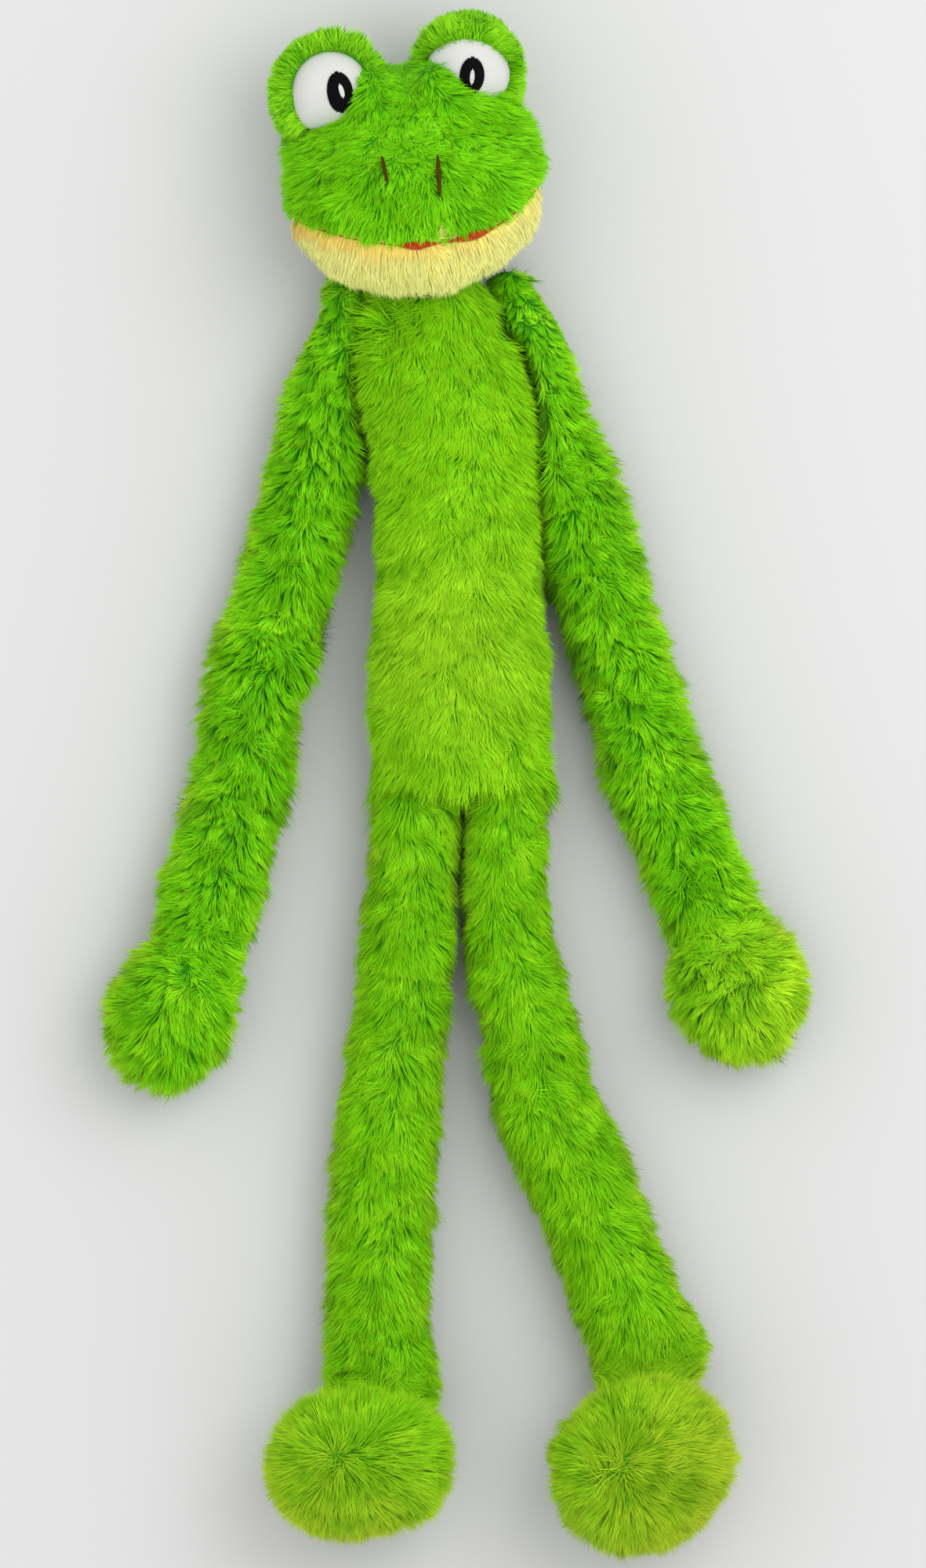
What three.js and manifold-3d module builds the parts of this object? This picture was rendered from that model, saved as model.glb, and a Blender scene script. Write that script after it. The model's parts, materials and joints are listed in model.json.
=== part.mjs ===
// A long-limbed plush frog lying on its back with its limbs spread.
// Millimetres, +Z up, +Y towards the head. X is the onlooker's right, which is the toy's own left.
// Each limb piece is a stuffed cover whose rounded end turns in a cup of its neighbour.
import * as THREE from "three";
import { mergeVertices } from "three/addons/utils/BufferGeometryUtils.js";
import Module from "manifold-3d";

// Driving dimensions: the plush cloth and how pieces meet.
const coverWall = 6; // knitted backing with the pile that stands on it
const seamGap = 0.3; // between pieces that are sewn or pressed together
const hingeGap = 0.3; // between pieces that turn against each other
const bendRoom = 3; // left between two cuffs at their widest bend
const restDepth = 0.5; // flat pressed into whatever lies on the ground
const overrun = 30; // how far a cutting shape runs past what it cuts

// Torso, from the hip line up to the middle of the neck.
const torsoLength = 200;
const torsoWidth = 66;
const torsoDepth = 52;
const neckRadius = 18;
const neckHeight = 27; // middle of the neck above the ground
const torsoLean = 12.8; // how far the neck lies to one side of the hips
const hipHeight = 21;
const hipClearance = 1.4; // between the two thigh ends
const shoulderInset = 1; // the shoulder's middle inside the torso's half width
const shoulderDrop = 19; // below the middle of the neck
const shoulderHeight = 18;

// Arms and hands.
const upperArmLength = 112;
const forearmLength = 112;
const shoulderRadius = 15.5;
const upperArmRadius = 17;
const elbowRadius = 17.8;
const forearmRadius = 17.4;
const wristRadius = 17.4;
const handWidth = 49;
const handLength = 56;
const handDepth = 46;
const handReach = 29; // middle of the hand past the wrist
const handOutset = 2; // bulge to the thumb side

// Legs and feet.
const thighLength = 98;
const shinLength = 104;
const hipRadius = 16;
const thighRadius = 17;
const kneeRadius = 18.4;
const shinRadius = 19;
const ankleRadius = 17.6;
const footWidth = 67;
const footHeight = 60;
const footDepth = 78;
const footReach = 32; // middle of the foot past the ankle

// Head, measured from the middle of the neck across and up, and from the ground forward.
const faceRise = 34; // middle of the face above the neck
const skullWidth = 90;
const skullHeight = 78;
const skullDepth = 74;
const skullRise = 3;
const snoutWidth = 95;
const snoutHeight = 56;
const snoutDepth = 70;
const snoutReach = 85;
const snoutDrop = 5;
const jawWidth = 84;
const jawHeight = 41;
const jawDepth = 62;
const jawReach = 79;
const jawDrop = 22;
const faceBlend = 3; // how softly skull, snout and jaw run together
const mouthWidth = 91;
const mouthCornerDrop = 11;
const mouthDip = 25; // lowest point of the mouth below the middle of the face
const mouthBack = 24; // where the yellow chin cloth starts, above the ground
const liningThickness = 1.2;
const liningInset = 1.6; // how far the lining hides behind the lips

// Eyes and nostrils.
const eyeSpreadShare = 0.545; // of the skull's width, between the middles of the eyes
const eyeShift = 1.4; // both eyes towards the toy's left
const eyeRise = 35;
const eyeRadius = 14.6;
const eyeHeight = 47; // middle of the eyeball above the ground
const hoodSpread = 4; // how much further apart the hoods stand than the eyes
const hoodRise = 34;
const hoodWidth = 40;
const hoodLength = 45;
const hoodDepth = 34;
const hoodHeight = 39;
const pupilWidth = 8.6;
const pupilLength = 13.6;
const threadThickness = 0.9; // raised by the embroidery of a pupil or a nostril
const pupilShift = 2; // both pupils towards the toy's left of the middle of the eye
const pupilTilt = 11; // degrees that the pupils lean apart at the top
const glintWidth = 2;
const glintLength = 4.6;
const nostrilSpacing = 18.8;
const nostrilLength = 13;
const nostrilWidth = 1.8;
const nostrilTilt = 6;
const nostrilRise = 2.3; // above the middle of the face
const nostrilSkew = 2.7; // how far the right one sits above that, and the left one below

// How each side lies, in degrees from straight down, outwards. The toy's right side is at -X.
const pose = {
  right: { shoulder: 13, elbow: 0.5, wrist: 9, hip: 5, knee: -2, ankle: 9 },
  left: { shoulder: 15.5, elbow: 3.7, wrist: -2, hip: 8, knee: 11, ankle: -20 },
};
const headRoll = 9.5;

// How far the neck nods, in degrees, and the widest bend of an elbow, knee, wrist or ankle.
const neckRange = [-40, 15];
const widestBend = 45;

// Facets. Sides of 4n + 2 lay a facet on the ground.
const limbSides = 14;
const torsoSides = 18;
const headSides = 22;
const cavitySides = 10;
const headCavitySides = 14;
const socketSides = 12;
const socketRings = 7;
const ballRings = 3; // from the pole of a rounded end to its rim
const eggRings = 8;
const headRings = 12;
const headCavityRings = 8;
const patchSides = 12;
const mouthSteps = 8;

// Shares that shape the swells.
const bodyShares = [0.28, 0.55, 0.8]; // of a limb's length
const mouthShare = 0.42; // of a rounded end's radius, the gathered mouth of a cover
const torsoShares = [
  // of the length, of the width, of the depth
  [0.08, 0.965, 0.84],
  [0.155, 1, 0.94],
  [0.25, 0.995, 1],
  [0.4, 0.945, 0.99],
  [0.58, 0.955, 0.96],
  [0.75, 0.975, 0.92],
  [0.87, 0.955, 0.86],
  [0.95, 0.8, 0.76],
];
const neckLiftShare = 0.7; // of the torso's length, above which it lifts towards the neck
const collarShare = 0.6; // above which the torso may meet the nodding head

const wasm = await Module();
wasm.setup();

const radians = THREE.MathUtils.degToRad;
const upright = new THREE.Vector3(0, 0, 1);

function cloth(colour, roughness = 0.95) {
  return new THREE.MeshStandardMaterial({ color: colour, roughness, metalness: 0 });
}

const greenPlush = cloth(0x62b80e);
const yellowPlush = cloth(0xe8df7a);
const eyeCloth = cloth(0xf0f0f4, 0.7);
const blackThread = cloth(0x101010, 0.6);
const whiteThread = cloth(0xf4f4f4, 0.6);
const brownThread = cloth(0x4a1c0c, 0.8);
const redFelt = cloth(0xc43a14);
const filling = cloth(0xf2f2ee);

// Solids and meshes.

function solidOf(geometry) {
  const bare = geometry.clone();
  bare.deleteAttribute("normal");
  bare.deleteAttribute("uv");
  const merged = mergeVertices(bare);
  return new wasm.Manifold(
    new wasm.Mesh({
      numProp: 3,
      vertProperties: new Float32Array(merged.attributes.position.array),
      triVerts: new Uint32Array(merged.index.array),
    }),
  );
}

function meshOf(name, solid, look) {
  const { vertProperties, triVerts } = solid.getMesh();
  const geometry = new THREE.BufferGeometry();
  geometry.setAttribute("position", new THREE.BufferAttribute(vertProperties, 3));
  geometry.setIndex(new THREE.BufferAttribute(triVerts, 1));
  geometry.computeVertexNormals();
  const mesh = new THREE.Mesh(geometry, look);
  mesh.name = name;
  return mesh;
}

// Points on rings around Y, from the +Y pole to the -Y pole, closed to a solid.
function skinOver(top, rings, bottom) {
  const sides = rings[0].length;
  const points = [top, ...rings.flat(), bottom].flatMap((point) => point.toArray());
  const faces = [];
  const end = 1 + rings.length * sides;
  for (let side = 0; side < sides; side += 1) {
    const next = (side + 1) % sides;
    faces.push(0, 1 + next, 1 + side);
    for (let k = 0; k < rings.length - 1; k += 1) {
      const here = 1 + k * sides;
      const below = here + sides;
      faces.push(here + side, here + next, below + next);
      faces.push(here + side, below + next, below + side);
    }
    const last = end - sides;
    faces.push(end, last + side, last + next);
  }
  const geometry = new THREE.BufferGeometry();
  geometry.setAttribute("position", new THREE.Float32BufferAttribute(points, 3));
  geometry.setIndex(faces);
  return solidOf(geometry);
}

// An upright oval of points around a middle, `across` wide along X and `up` high along Z.
function oval(x, y, z, across, up, sides) {
  return Array.from({ length: sides }, (_, side) => {
    const angle = (2 * Math.PI * side) / sides;
    return new THREE.Vector3(x + across * Math.cos(angle), y, z + up * Math.sin(angle));
  });
}

function block(low, high) {
  const size = new THREE.Vector3().subVectors(high, low);
  const middle = new THREE.Vector3().addVectors(low, high).multiplyScalar(0.5);
  return solidOf(new THREE.BoxGeometry(...size).translate(...middle));
}

// Everything under the ground, seen from a frame whose origin stands `height` above it.
function ground(height) {
  return block(
    new THREE.Vector3(-torsoLength, -torsoLength, -height - torsoLength),
    new THREE.Vector3(torsoLength, 2 * torsoLength, -height),
  );
}

function ball(radius, place = new THREE.Vector3(), sides = limbSides, rings = 2 * ballRings) {
  return solidOf(new THREE.SphereGeometry(radius, sides, rings).translate(...place));
}

// A faceted hollow that a true ball of this radius turns in without touching.
function socket(radius, place) {
  const loss = Math.cos(Math.PI / socketSides) * Math.cos(Math.PI / (2 * socketRings));
  return ball(radius / loss, place, socketSides, socketRings);
}

// Half of the height that a faceted round section of this radius lies on.
function restingHeight(radius, sides = limbSides) {
  return radius * Math.cos(Math.PI / sides) - restDepth;
}

// Where a sleeve ends before a joint of this radius, so that the bend closes without crowding.
function setback(radius, bend = widestBend) {
  return radius * Math.tan(radians(bend) / 2) + bendRoom;
}

// Swell of a limb between its two ends: a parabola through the three radii.
function swell(share, start, middle, end) {
  return (
    start * (1 - share) * (1 - 2 * share) +
    4 * middle * share * (1 - share) +
    end * share * (2 * share - 1)
  );
}

// A stuffed limb piece that hangs from the origin towards -Y. `growth` swells it, or shrinks it to its filling.
function limbForm(limb, growth = 0, sides = limbSides) {
  const start = limb.startRadius + growth;
  const end = limb.endRadius + growth;
  const rings = [];
  for (let k = 1; k <= ballRings; k += 1) {
    const turn = (Math.PI / 2) * (k / ballRings);
    rings.push(oval(0, start * Math.cos(turn), 0, start * Math.sin(turn), start * Math.sin(turn), sides));
  }
  for (const share of bodyShares) {
    const radius = swell(share, limb.startRadius, limb.middleRadius, limb.endRadius) + growth;
    rings.push(oval(0, -limb.length * share, limb.drop * share, radius, radius, sides));
  }
  let tip = -limb.length - end;
  if (limb.roundEnd) {
    for (let k = 0; k < ballRings; k += 1) {
      const turn = (Math.PI / 2) * (k / ballRings);
      const radius = end * Math.cos(turn);
      rings.push(oval(0, -limb.length - end * Math.sin(turn), limb.drop, radius, radius, sides));
    }
  } else {
    // The filling stops a wall short of the cup that the next piece turns in.
    const back = growth < 0 ? limb.endRadius + hingeGap - growth : setback(limb.endRadius);
    tip = -limb.length + back;
    rings.push(oval(0, tip, limb.drop, end, end, sides));
  }
  const point = (y, z) => new THREE.Vector3(0, y, z);
  return skinOver(point(start, 0), rings, point(tip, limb.drop));
}

// Rings of points where rays from a core leave a group of eggs that run softly together.
function eggForm(eggs, core, growth = 0, sides = limbSides, rings = eggRings) {
  const reachTo = (egg, direction) => {
    const radii = egg.size.clone().multiplyScalar(0.5).addScalar(growth);
    const from = new THREE.Vector3().subVectors(core, egg.middle).divide(radii);
    const along = direction.clone().divide(radii);
    const a = along.dot(along);
    const b = from.dot(along);
    const inside = Math.max(b * b - a * (from.dot(from) - 1), 0);
    return (Math.sqrt(inside) - b) / a;
  };
  const pointTo = (polar, angle) => {
    const direction = new THREE.Vector3().setFromSphericalCoords(1, polar, Math.PI / 2 - angle);
    direction.z = -direction.z;
    const sum = eggs.reduce((total, egg) => total + Math.exp(reachTo(egg, direction) / faceBlend), 0);
    return core.clone().addScaledVector(direction, faceBlend * Math.log(sum));
  };
  const bands = [];
  for (let k = 1; k < rings; k += 1) {
    const polar = (Math.PI * k) / rings;
    bands.push(
      Array.from({ length: sides }, (_, side) => pointTo(polar, -(2 * Math.PI * side) / sides)),
    );
  }
  return skinOver(pointTo(0, 0), bands, pointTo(Math.PI, 0));
}

function egg(x, y, z, width, height, depth) {
  return { middle: new THREE.Vector3(x, y, z), size: new THREE.Vector3(width, height, depth) };
}

// A round hole along Y, the gathered mouth through which a cover was turned and filled.
function gatheredMouth(radius, from, to) {
  const bore = radius * mouthShare;
  const hole = new THREE.CylinderGeometry(bore, bore, to - from, cavitySides);
  return solidOf(hole.translate(0, (from + to) / 2, 0));
}

// A group at a joint's pivot, turned about Z to the way the piece lies.
function jointGroup(name, pivot, turn) {
  const group = new THREE.Group();
  group.name = name;
  group.position.copy(pivot);
  group.rotation.z = radians(turn);
  group.updateMatrix();
  return group;
}

// A green cover around its filling. `form` gives the outer shape for a growth.
function stuffed(name, side, form, cuts) {
  const hollow = form(-coverWall, cavitySides);
  const skin = cuts.reduce((solid, cut) => solid.subtract(cut), form(0, limbSides));
  return [
    meshOf(`${name}_cover_${side}`, skin.subtract(hollow), greenPlush),
    meshOf(`${name}_stuffing_${side}`, form(-coverWall - seamGap, cavitySides), filling),
  ];
}

// Torso.

function spineAt(share) {
  return { x: -torsoLean * share ** 3, y: torsoLength * share };
}

function torsoRing(shares, growth, sides) {
  const [along, wide, deep] = shares;
  const { x, y } = spineAt(along);
  const up = (torsoDepth / 2) * deep;
  const rise = Math.max(0, (along - neckLiftShare) / (1 - neckLiftShare));
  const height = restingHeight(up, torsoSides) + (neckHeight - neckRadius) * rise * rise;
  return oval(x, y, height, (torsoWidth / 2) * wide + growth, up + growth, sides);
}

// The torso from a lowest height up to the rounded neck.
function torsoForm(lowest, growth = 0, sides = torsoSides) {
  const neck = spineAt(1);
  const cap = neckRadius + growth;
  const rings = [];
  for (let k = 1; k <= ballRings; k += 1) {
    const turn = (Math.PI / 2) * (k / ballRings);
    const across = cap * Math.sin(turn);
    rings.push(oval(neck.x, neck.y + cap * Math.cos(turn), neckHeight, across, across, sides));
  }
  const above = torsoShares.filter(([along]) => spineAt(along).y > lowest);
  for (const shares of above.reverse()) {
    rings.push(torsoRing(shares, growth, sides));
  }
  const [, wide, deep] = above[above.length - 1];
  rings.push(torsoRing([lowest / torsoLength, wide, deep], growth, sides));
  const hem = spineAt(lowest / torsoLength);
  return skinOver(
    new THREE.Vector3(neck.x, neck.y + cap, neckHeight),
    rings,
    new THREE.Vector3(hem.x, hem.y, (torsoDepth / 2) * deep),
  );
}

// Limb shapes. `drop` is how far the far end lies above or below the near one.

const upperArm = {
  length: upperArmLength,
  startRadius: shoulderRadius,
  middleRadius: upperArmRadius,
  endRadius: elbowRadius,
  drop: restingHeight(elbowRadius) - shoulderHeight,
  roundEnd: false,
};
const forearm = {
  length: forearmLength,
  startRadius: elbowRadius,
  middleRadius: forearmRadius,
  endRadius: wristRadius,
  drop: restingHeight(wristRadius) - restingHeight(elbowRadius),
  roundEnd: true,
};
const thigh = {
  length: thighLength,
  startRadius: hipRadius,
  middleRadius: thighRadius,
  endRadius: kneeRadius,
  drop: restingHeight(kneeRadius) - hipHeight,
  roundEnd: false,
};
const shin = {
  length: shinLength,
  startRadius: kneeRadius,
  middleRadius: shinRadius,
  endRadius: ankleRadius,
  drop: restingHeight(ankleRadius) - restingHeight(kneeRadius),
  roundEnd: true,
};

function handForm(side, growth, sides) {
  const lift = restingHeight(handDepth / 2) - restingHeight(wristRadius);
  const hand = egg(side * handOutset, -handReach, lift, handWidth, handLength, handDepth);
  return eggForm([hand], hand.middle, growth, sides);
}

function footForm(growth, sides) {
  const lift = restingHeight(footDepth / 2) - restingHeight(ankleRadius);
  const foot = egg(0, -footReach, lift, footWidth, footHeight, footDepth);
  return eggForm([foot], foot.middle, growth, sides);
}

// A hand or foot: an egg with a cup for the rounded end of its limb, kept clear of the limb as it bends.
function makeEnd(name, sideName, radius, reach, form) {
  const clear = block(
    new THREE.Vector3(-overrun, -setback(radius), -overrun),
    new THREE.Vector3(overrun, overrun, overrun),
  );
  const filled = (growth, sides) =>
    growth < 0 ? form(growth, sides).subtract(socket(radius + hingeGap - growth)) : form(0, sides);
  return stuffed(name, sideName, filled, [
    socket(radius + hingeGap),
    clear,
    gatheredMouth(radius, -reach, 0),
    ground(restingHeight(radius)),
  ]);
}

// A sleeve between two joints, whose near end is rounded and whose far end carries a cup or is rounded too.
function makeSleeve(name, sideName, limb, height, form = (...size) => limbForm(limb, ...size)) {
  const pivot = new THREE.Vector3(0, -limb.length, limb.drop);
  const cup = limb.roundEnd ? [] : [socket(limb.endRadius + hingeGap, pivot)];
  const mouth = gatheredMouth(limb.startRadius, 0, limb.startRadius + overrun);
  return stuffed(name, sideName, form, [mouth, ...cup, ground(height)]);
}

function makeArm(sideName) {
  const side = sideName === "left" ? 1 : -1;
  const share = 1 - shoulderDrop / torsoLength;
  const at = spineAt(share);
  const span = torsoWidth / 2 - shoulderInset;
  const shoulder = jointGroup(
    `shoulder_${sideName}`,
    new THREE.Vector3(at.x + side * span, at.y, shoulderHeight),
    side * pose[sideName].shoulder,
  );
  const elbow = jointGroup(
    `elbow_${sideName}`,
    new THREE.Vector3(0, -upperArmLength, upperArm.drop),
    side * pose[sideName].elbow,
  );
  const wrist = jointGroup(
    `wrist_${sideName}`,
    new THREE.Vector3(0, -forearmLength, forearm.drop),
    side * pose[sideName].wrist,
  );
  // The arm lies flat against the torso's flank below its own rounded end.
  const away = shoulder.matrix.clone().invert().elements;
  const pressed = (growth, sides) => {
    const flank = torsoForm(hipRadius, hingeGap - growth).transform(away);
    const whole = ball(shoulderRadius + hingeGap / 2 + growth);
    return limbForm(upperArm, growth, sides).subtract(flank.subtract(whole));
  };
  shoulder.add(elbow, ...makeSleeve("upper_arm", sideName, upperArm, shoulderHeight, pressed));
  elbow.add(wrist, ...makeSleeve("forearm", sideName, forearm, restingHeight(elbowRadius)));
  wrist.add(
    ...makeEnd("hand", sideName, wristRadius, handReach, (growth, sides) =>
      handForm(side, growth, sides),
    ),
  );
  return shoulder;
}

function makeLeg(sideName) {
  const side = sideName === "left" ? 1 : -1;
  const hip = jointGroup(
    `hip_${sideName}`,
    new THREE.Vector3(side * (hipRadius + hipClearance / 2), 0, hipHeight),
    side * pose[sideName].hip,
  );
  const knee = jointGroup(
    `knee_${sideName}`,
    new THREE.Vector3(0, -thighLength, thigh.drop),
    side * pose[sideName].knee,
  );
  const ankle = jointGroup(
    `ankle_${sideName}`,
    new THREE.Vector3(0, -shinLength, shin.drop),
    side * pose[sideName].ankle,
  );
  hip.add(knee, ...makeSleeve("thigh", sideName, thigh, hipHeight));
  knee.add(ankle, ...makeSleeve("shin", sideName, shin, restingHeight(kneeRadius)));
  ankle.add(...makeEnd("foot", sideName, ankleRadius, footReach, footForm));
  return hip;
}

// The torso's front and back panels, sewn along the sides, around their filling.
function makeTorso(arms, legs) {
  const hem = setback(hipRadius);
  const cups = (clearance) => [
    ...arms.map((joint) => socket(shoulderRadius + clearance, joint.position)),
    ...legs.map((joint) => socket(hipRadius + clearance, joint.position)),
  ];
  // The front stops higher than the back, so that a leg can lift straight up.
  const lap = block(
    new THREE.Vector3(-torsoWidth, -overrun, hipHeight),
    new THREE.Vector3(
      torsoWidth,
      Math.max(hipRadius, thighRadius) + hingeGap,
      torsoDepth + overrun,
    ),
  );
  const inside = (growth) => {
    const form = torsoForm(hipRadius + hingeGap - growth, growth, cavitySides);
    return cups(hingeGap - growth).reduce((solid, cup) => solid.subtract(cup), form);
  };
  let skin = torsoForm(hem).subtract(inside(-coverWall));
  for (const cut of [lap, ground(0), ...cups(hingeGap)]) {
    skin = skin.subtract(cut);
  }
  const seam = torsoDepth / 2;
  const half = (low, high) =>
    block(
      new THREE.Vector3(-torsoWidth, -torsoLength, low),
      new THREE.Vector3(torsoWidth, 2 * torsoLength, high),
    );
  return [
    meshOf(
      "torso_front_panel",
      skin.intersect(half(seam + seamGap / 2, torsoDepth + overrun)),
      greenPlush,
    ),
    meshOf("torso_back_panel", skin.intersect(half(-overrun, seam - seamGap / 2)), greenPlush),
    meshOf("torso_stuffing", inside(-coverWall - seamGap), filling),
  ];
}

// Head. Its frame stands on the middle of the neck, with the ground below it.

const headGround = -neckHeight;

function headForm(growth = 0, sides = headSides, rings = headRings) {
  const skullMiddle = headGround + skullDepth / 2 - 2 * restDepth;
  const snoutMiddle = headGround + snoutReach - snoutDepth / 2;
  const jawMiddle = headGround + jawReach - jawDepth / 2;
  const eggs = [
    egg(0, faceRise + skullRise, skullMiddle, skullWidth, skullHeight, skullDepth),
    egg(0, faceRise - snoutDrop, snoutMiddle, snoutWidth, snoutHeight, snoutDepth),
    egg(0, faceRise - jawDrop, jawMiddle, jawWidth, jawHeight, jawDepth),
  ];
  const core = new THREE.Vector3(0, faceRise - snoutDrop, (skullMiddle + snoutMiddle) / 2);
  return eggForm(eggs, core, growth, sides, rings);
}

// A slab that follows the mouth line from ear to ear, between two heights measured from that line.
function mouthSlab(bottom, top) {
  const reach = mouthWidth / 2 + overrun;
  const bend = (mouthDip - mouthCornerDrop) / (mouthWidth / 2) ** 2;
  const lip = Array.from({ length: mouthSteps + 1 }, (_, k) => {
    const across = reach * ((2 * k) / mouthSteps - 1);
    return new THREE.Vector2(across, faceRise - mouthDip + bend * across ** 2);
  });
  const edge = (offset) => lip.map((point) => new THREE.Vector2(point.x, point.y + offset));
  const outline = new THREE.Shape([...edge(bottom), ...edge(top).reverse()]);
  const depth = snoutReach - mouthBack + overrun;
  const slab = new THREE.ExtrudeGeometry(outline, { depth, bevelEnabled: false });
  return solidOf(slab.translate(0, 0, headGround + mouthBack));
}

// A column along Z with an upright oval section, to cut a patch out of a skin.
function ovalColumn(width, length, tilt, place) {
  const column = new THREE.CylinderGeometry(0.5, 0.5, 1, patchSides);
  column.rotateX(Math.PI / 2).scale(width, length, overrun);
  return solidOf(column.rotateZ(radians(tilt)).translate(...place));
}

function makeEye(sideName, head) {
  const side = sideName === "left" ? 1 : -1;
  const eyeSpacing = skullWidth * eyeSpreadShare;
  const middle = new THREE.Vector3(
    (side * eyeSpacing) / 2 + eyeShift,
    faceRise + eyeRise,
    headGround + eyeHeight,
  );
  const front = middle.clone().add(new THREE.Vector3(pupilShift, 0, overrun / 2));
  const hood = egg(
    (side * (eyeSpacing + hoodSpread)) / 2,
    faceRise + hoodRise,
    headGround + hoodHeight,
    hoodWidth,
    hoodLength,
    hoodDepth,
  );
  const hoodRoom = ball(eyeRadius + seamGap, middle);
  const hoodSkin = eggForm([hood], hood.middle).subtract(hoodRoom).subtract(head);
  const pupilInside = eyeRadius + seamGap;
  const glintInside = pupilInside + threadThickness + seamGap;
  const patch = (width, length, inside) =>
    ball(inside + threadThickness, middle)
      .subtract(ball(inside, middle))
      .intersect(ovalColumn(width, length, -side * pupilTilt, front));
  return [
    meshOf(`eye_hood_${sideName}`, hoodSkin, greenPlush),
    meshOf(`eyeball_${sideName}`, ball(eyeRadius, middle).subtract(head), eyeCloth),
    meshOf(
      `pupil_${sideName}`,
      patch(pupilWidth, pupilLength, pupilInside).subtract(head),
      blackThread,
    ),
    meshOf(`eye_glint_${sideName}`, patch(glintWidth, glintLength, glintInside), whiteThread),
  ];
}

function makeNostril(sideName) {
  const side = sideName === "left" ? 1 : -1;
  const place = new THREE.Vector3(
    (side * nostrilSpacing) / 2,
    faceRise + nostrilRise - side * nostrilSkew,
    headGround + snoutReach,
  );
  const stitch = headForm(seamGap + threadThickness)
    .subtract(headForm(seamGap))
    .intersect(ovalColumn(nostrilWidth, nostrilLength, -side * nostrilTilt, place));
  return meshOf(`nostril_${sideName}`, stitch, brownThread);
}

function makeHead() {
  const at = spineAt(1);
  const neck = jointGroup("neck", new THREE.Vector3(at.x, at.y, neckHeight), headRoll);
  // What the chest and shoulders sweep as the head nods, seen from the head.
  const away = neck.matrix.clone().invert();
  const nod = new THREE.Vector3(1, 0, 0).applyAxisAngle(upright, radians(-headRoll));
  const collar = torsoForm(torsoLength * collarShare, 2 * hingeGap, torsoSides);
  const swept = neckRange.map((degrees) => {
    const spin = new THREE.Matrix4().makeRotationAxis(nod, -radians(degrees));
    return collar.transform(spin.multiply(away).elements);
  });
  const shrunk = (growth) =>
    headForm(growth, headCavitySides, headCavityRings).subtract(
      block(
        new THREE.Vector3(-skullWidth, -skullHeight, -skullDepth),
        new THREE.Vector3(
          skullWidth,
          neckRadius + hingeGap - growth,
          neckRadius + hingeGap - growth,
        ),
      ),
    );
  let skin = headForm().subtract(shrunk(-coverWall));
  for (const cut of [socket(neckRadius + hingeGap), ground(neckHeight), ...swept]) {
    skin = skin.subtract(cut);
  }
  const lip = liningThickness / 2;
  const chin = jawHeight + overrun;
  let lining = headForm(-liningInset)
    .intersect(mouthSlab(-lip, lip))
    .subtract(shrunk(-coverWall))
    .subtract(socket(neckRadius + hingeGap));
  for (const cut of swept) {
    lining = lining.subtract(cut);
  }
  const face = headForm(seamGap);
  neck.add(
    meshOf("head_cover", skin.subtract(mouthSlab(-chin, lip + seamGap)), greenPlush),
    meshOf("jaw_cover", skin.intersect(mouthSlab(-chin, -lip - seamGap)), yellowPlush),
    meshOf("mouth_lining", lining, redFelt),
    meshOf("head_stuffing", shrunk(-coverWall - seamGap), filling),
    ...makeEye("left", face),
    ...makeEye("right", face),
    makeNostril("left"),
    makeNostril("right"),
  );
  return neck;
}

const arms = [makeArm("right"), makeArm("left")];
const legs = [makeLeg("right"), makeLeg("left")];
const frog = new THREE.Group();
frog.add(...makeTorso(arms, legs), makeHead(), ...arms, ...legs);

// The origin is under the middle of the toy as it lies.
const extent = new THREE.Box3().setFromObject(frog, true);
const centre = extent.getCenter(new THREE.Vector3());
frog.position.set(-centre.x, -centre.y, -extent.min.z);

const plushFrog = new THREE.Group();
plushFrog.add(frog);

export default plushFrog;
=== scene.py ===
"""A long-limbed plush frog, laid on its back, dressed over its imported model.

Each stuffed part is a cloth backing with a pile of fine strands. Metres, +Z up, +Y towards the head.
"""

import json
import logging
import math
from collections.abc import Callable, Iterable
from dataclasses import asdict, dataclass, field, fields, replace
from enum import Enum

import bmesh
import bpy
import numpy as np
from mathutils import Matrix, Vector
from mathutils.bvhtree import BVHTree


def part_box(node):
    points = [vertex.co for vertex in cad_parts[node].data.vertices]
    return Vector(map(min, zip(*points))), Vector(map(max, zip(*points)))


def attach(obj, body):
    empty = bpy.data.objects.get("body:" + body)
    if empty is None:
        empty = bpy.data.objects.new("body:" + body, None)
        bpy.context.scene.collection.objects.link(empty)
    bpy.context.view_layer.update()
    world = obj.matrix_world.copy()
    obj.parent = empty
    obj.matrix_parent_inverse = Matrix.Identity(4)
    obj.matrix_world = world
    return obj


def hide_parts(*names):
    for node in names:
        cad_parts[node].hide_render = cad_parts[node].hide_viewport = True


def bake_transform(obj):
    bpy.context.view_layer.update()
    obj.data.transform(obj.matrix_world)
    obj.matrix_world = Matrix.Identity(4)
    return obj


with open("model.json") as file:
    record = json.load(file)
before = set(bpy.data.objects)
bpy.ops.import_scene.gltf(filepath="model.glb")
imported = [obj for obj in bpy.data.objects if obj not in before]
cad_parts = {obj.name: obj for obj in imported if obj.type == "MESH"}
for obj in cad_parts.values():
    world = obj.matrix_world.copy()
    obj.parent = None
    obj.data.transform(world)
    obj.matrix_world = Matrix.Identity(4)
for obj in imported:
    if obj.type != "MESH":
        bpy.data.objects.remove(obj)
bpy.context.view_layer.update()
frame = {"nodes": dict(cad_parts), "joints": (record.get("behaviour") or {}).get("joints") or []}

Socket = bpy.types.NodeSocket
Mesh = bpy.types.Mesh
Thing = bpy.types.Object
Colour = tuple[int, int, int]

LOG = logging.getLogger("frog")
MM = 0.001
WELD = 1e-6  # between vertices that are one
SHORTEST = 1e-9  # of a vector brought to unit length
SKYWARD = Vector((0, 0, 1))
LINING_COSINE = 0.35  # of the faces that line a hood
CLEAR_HEIGHT = 0.2  # above all of the toy, where a ray down starts

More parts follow.
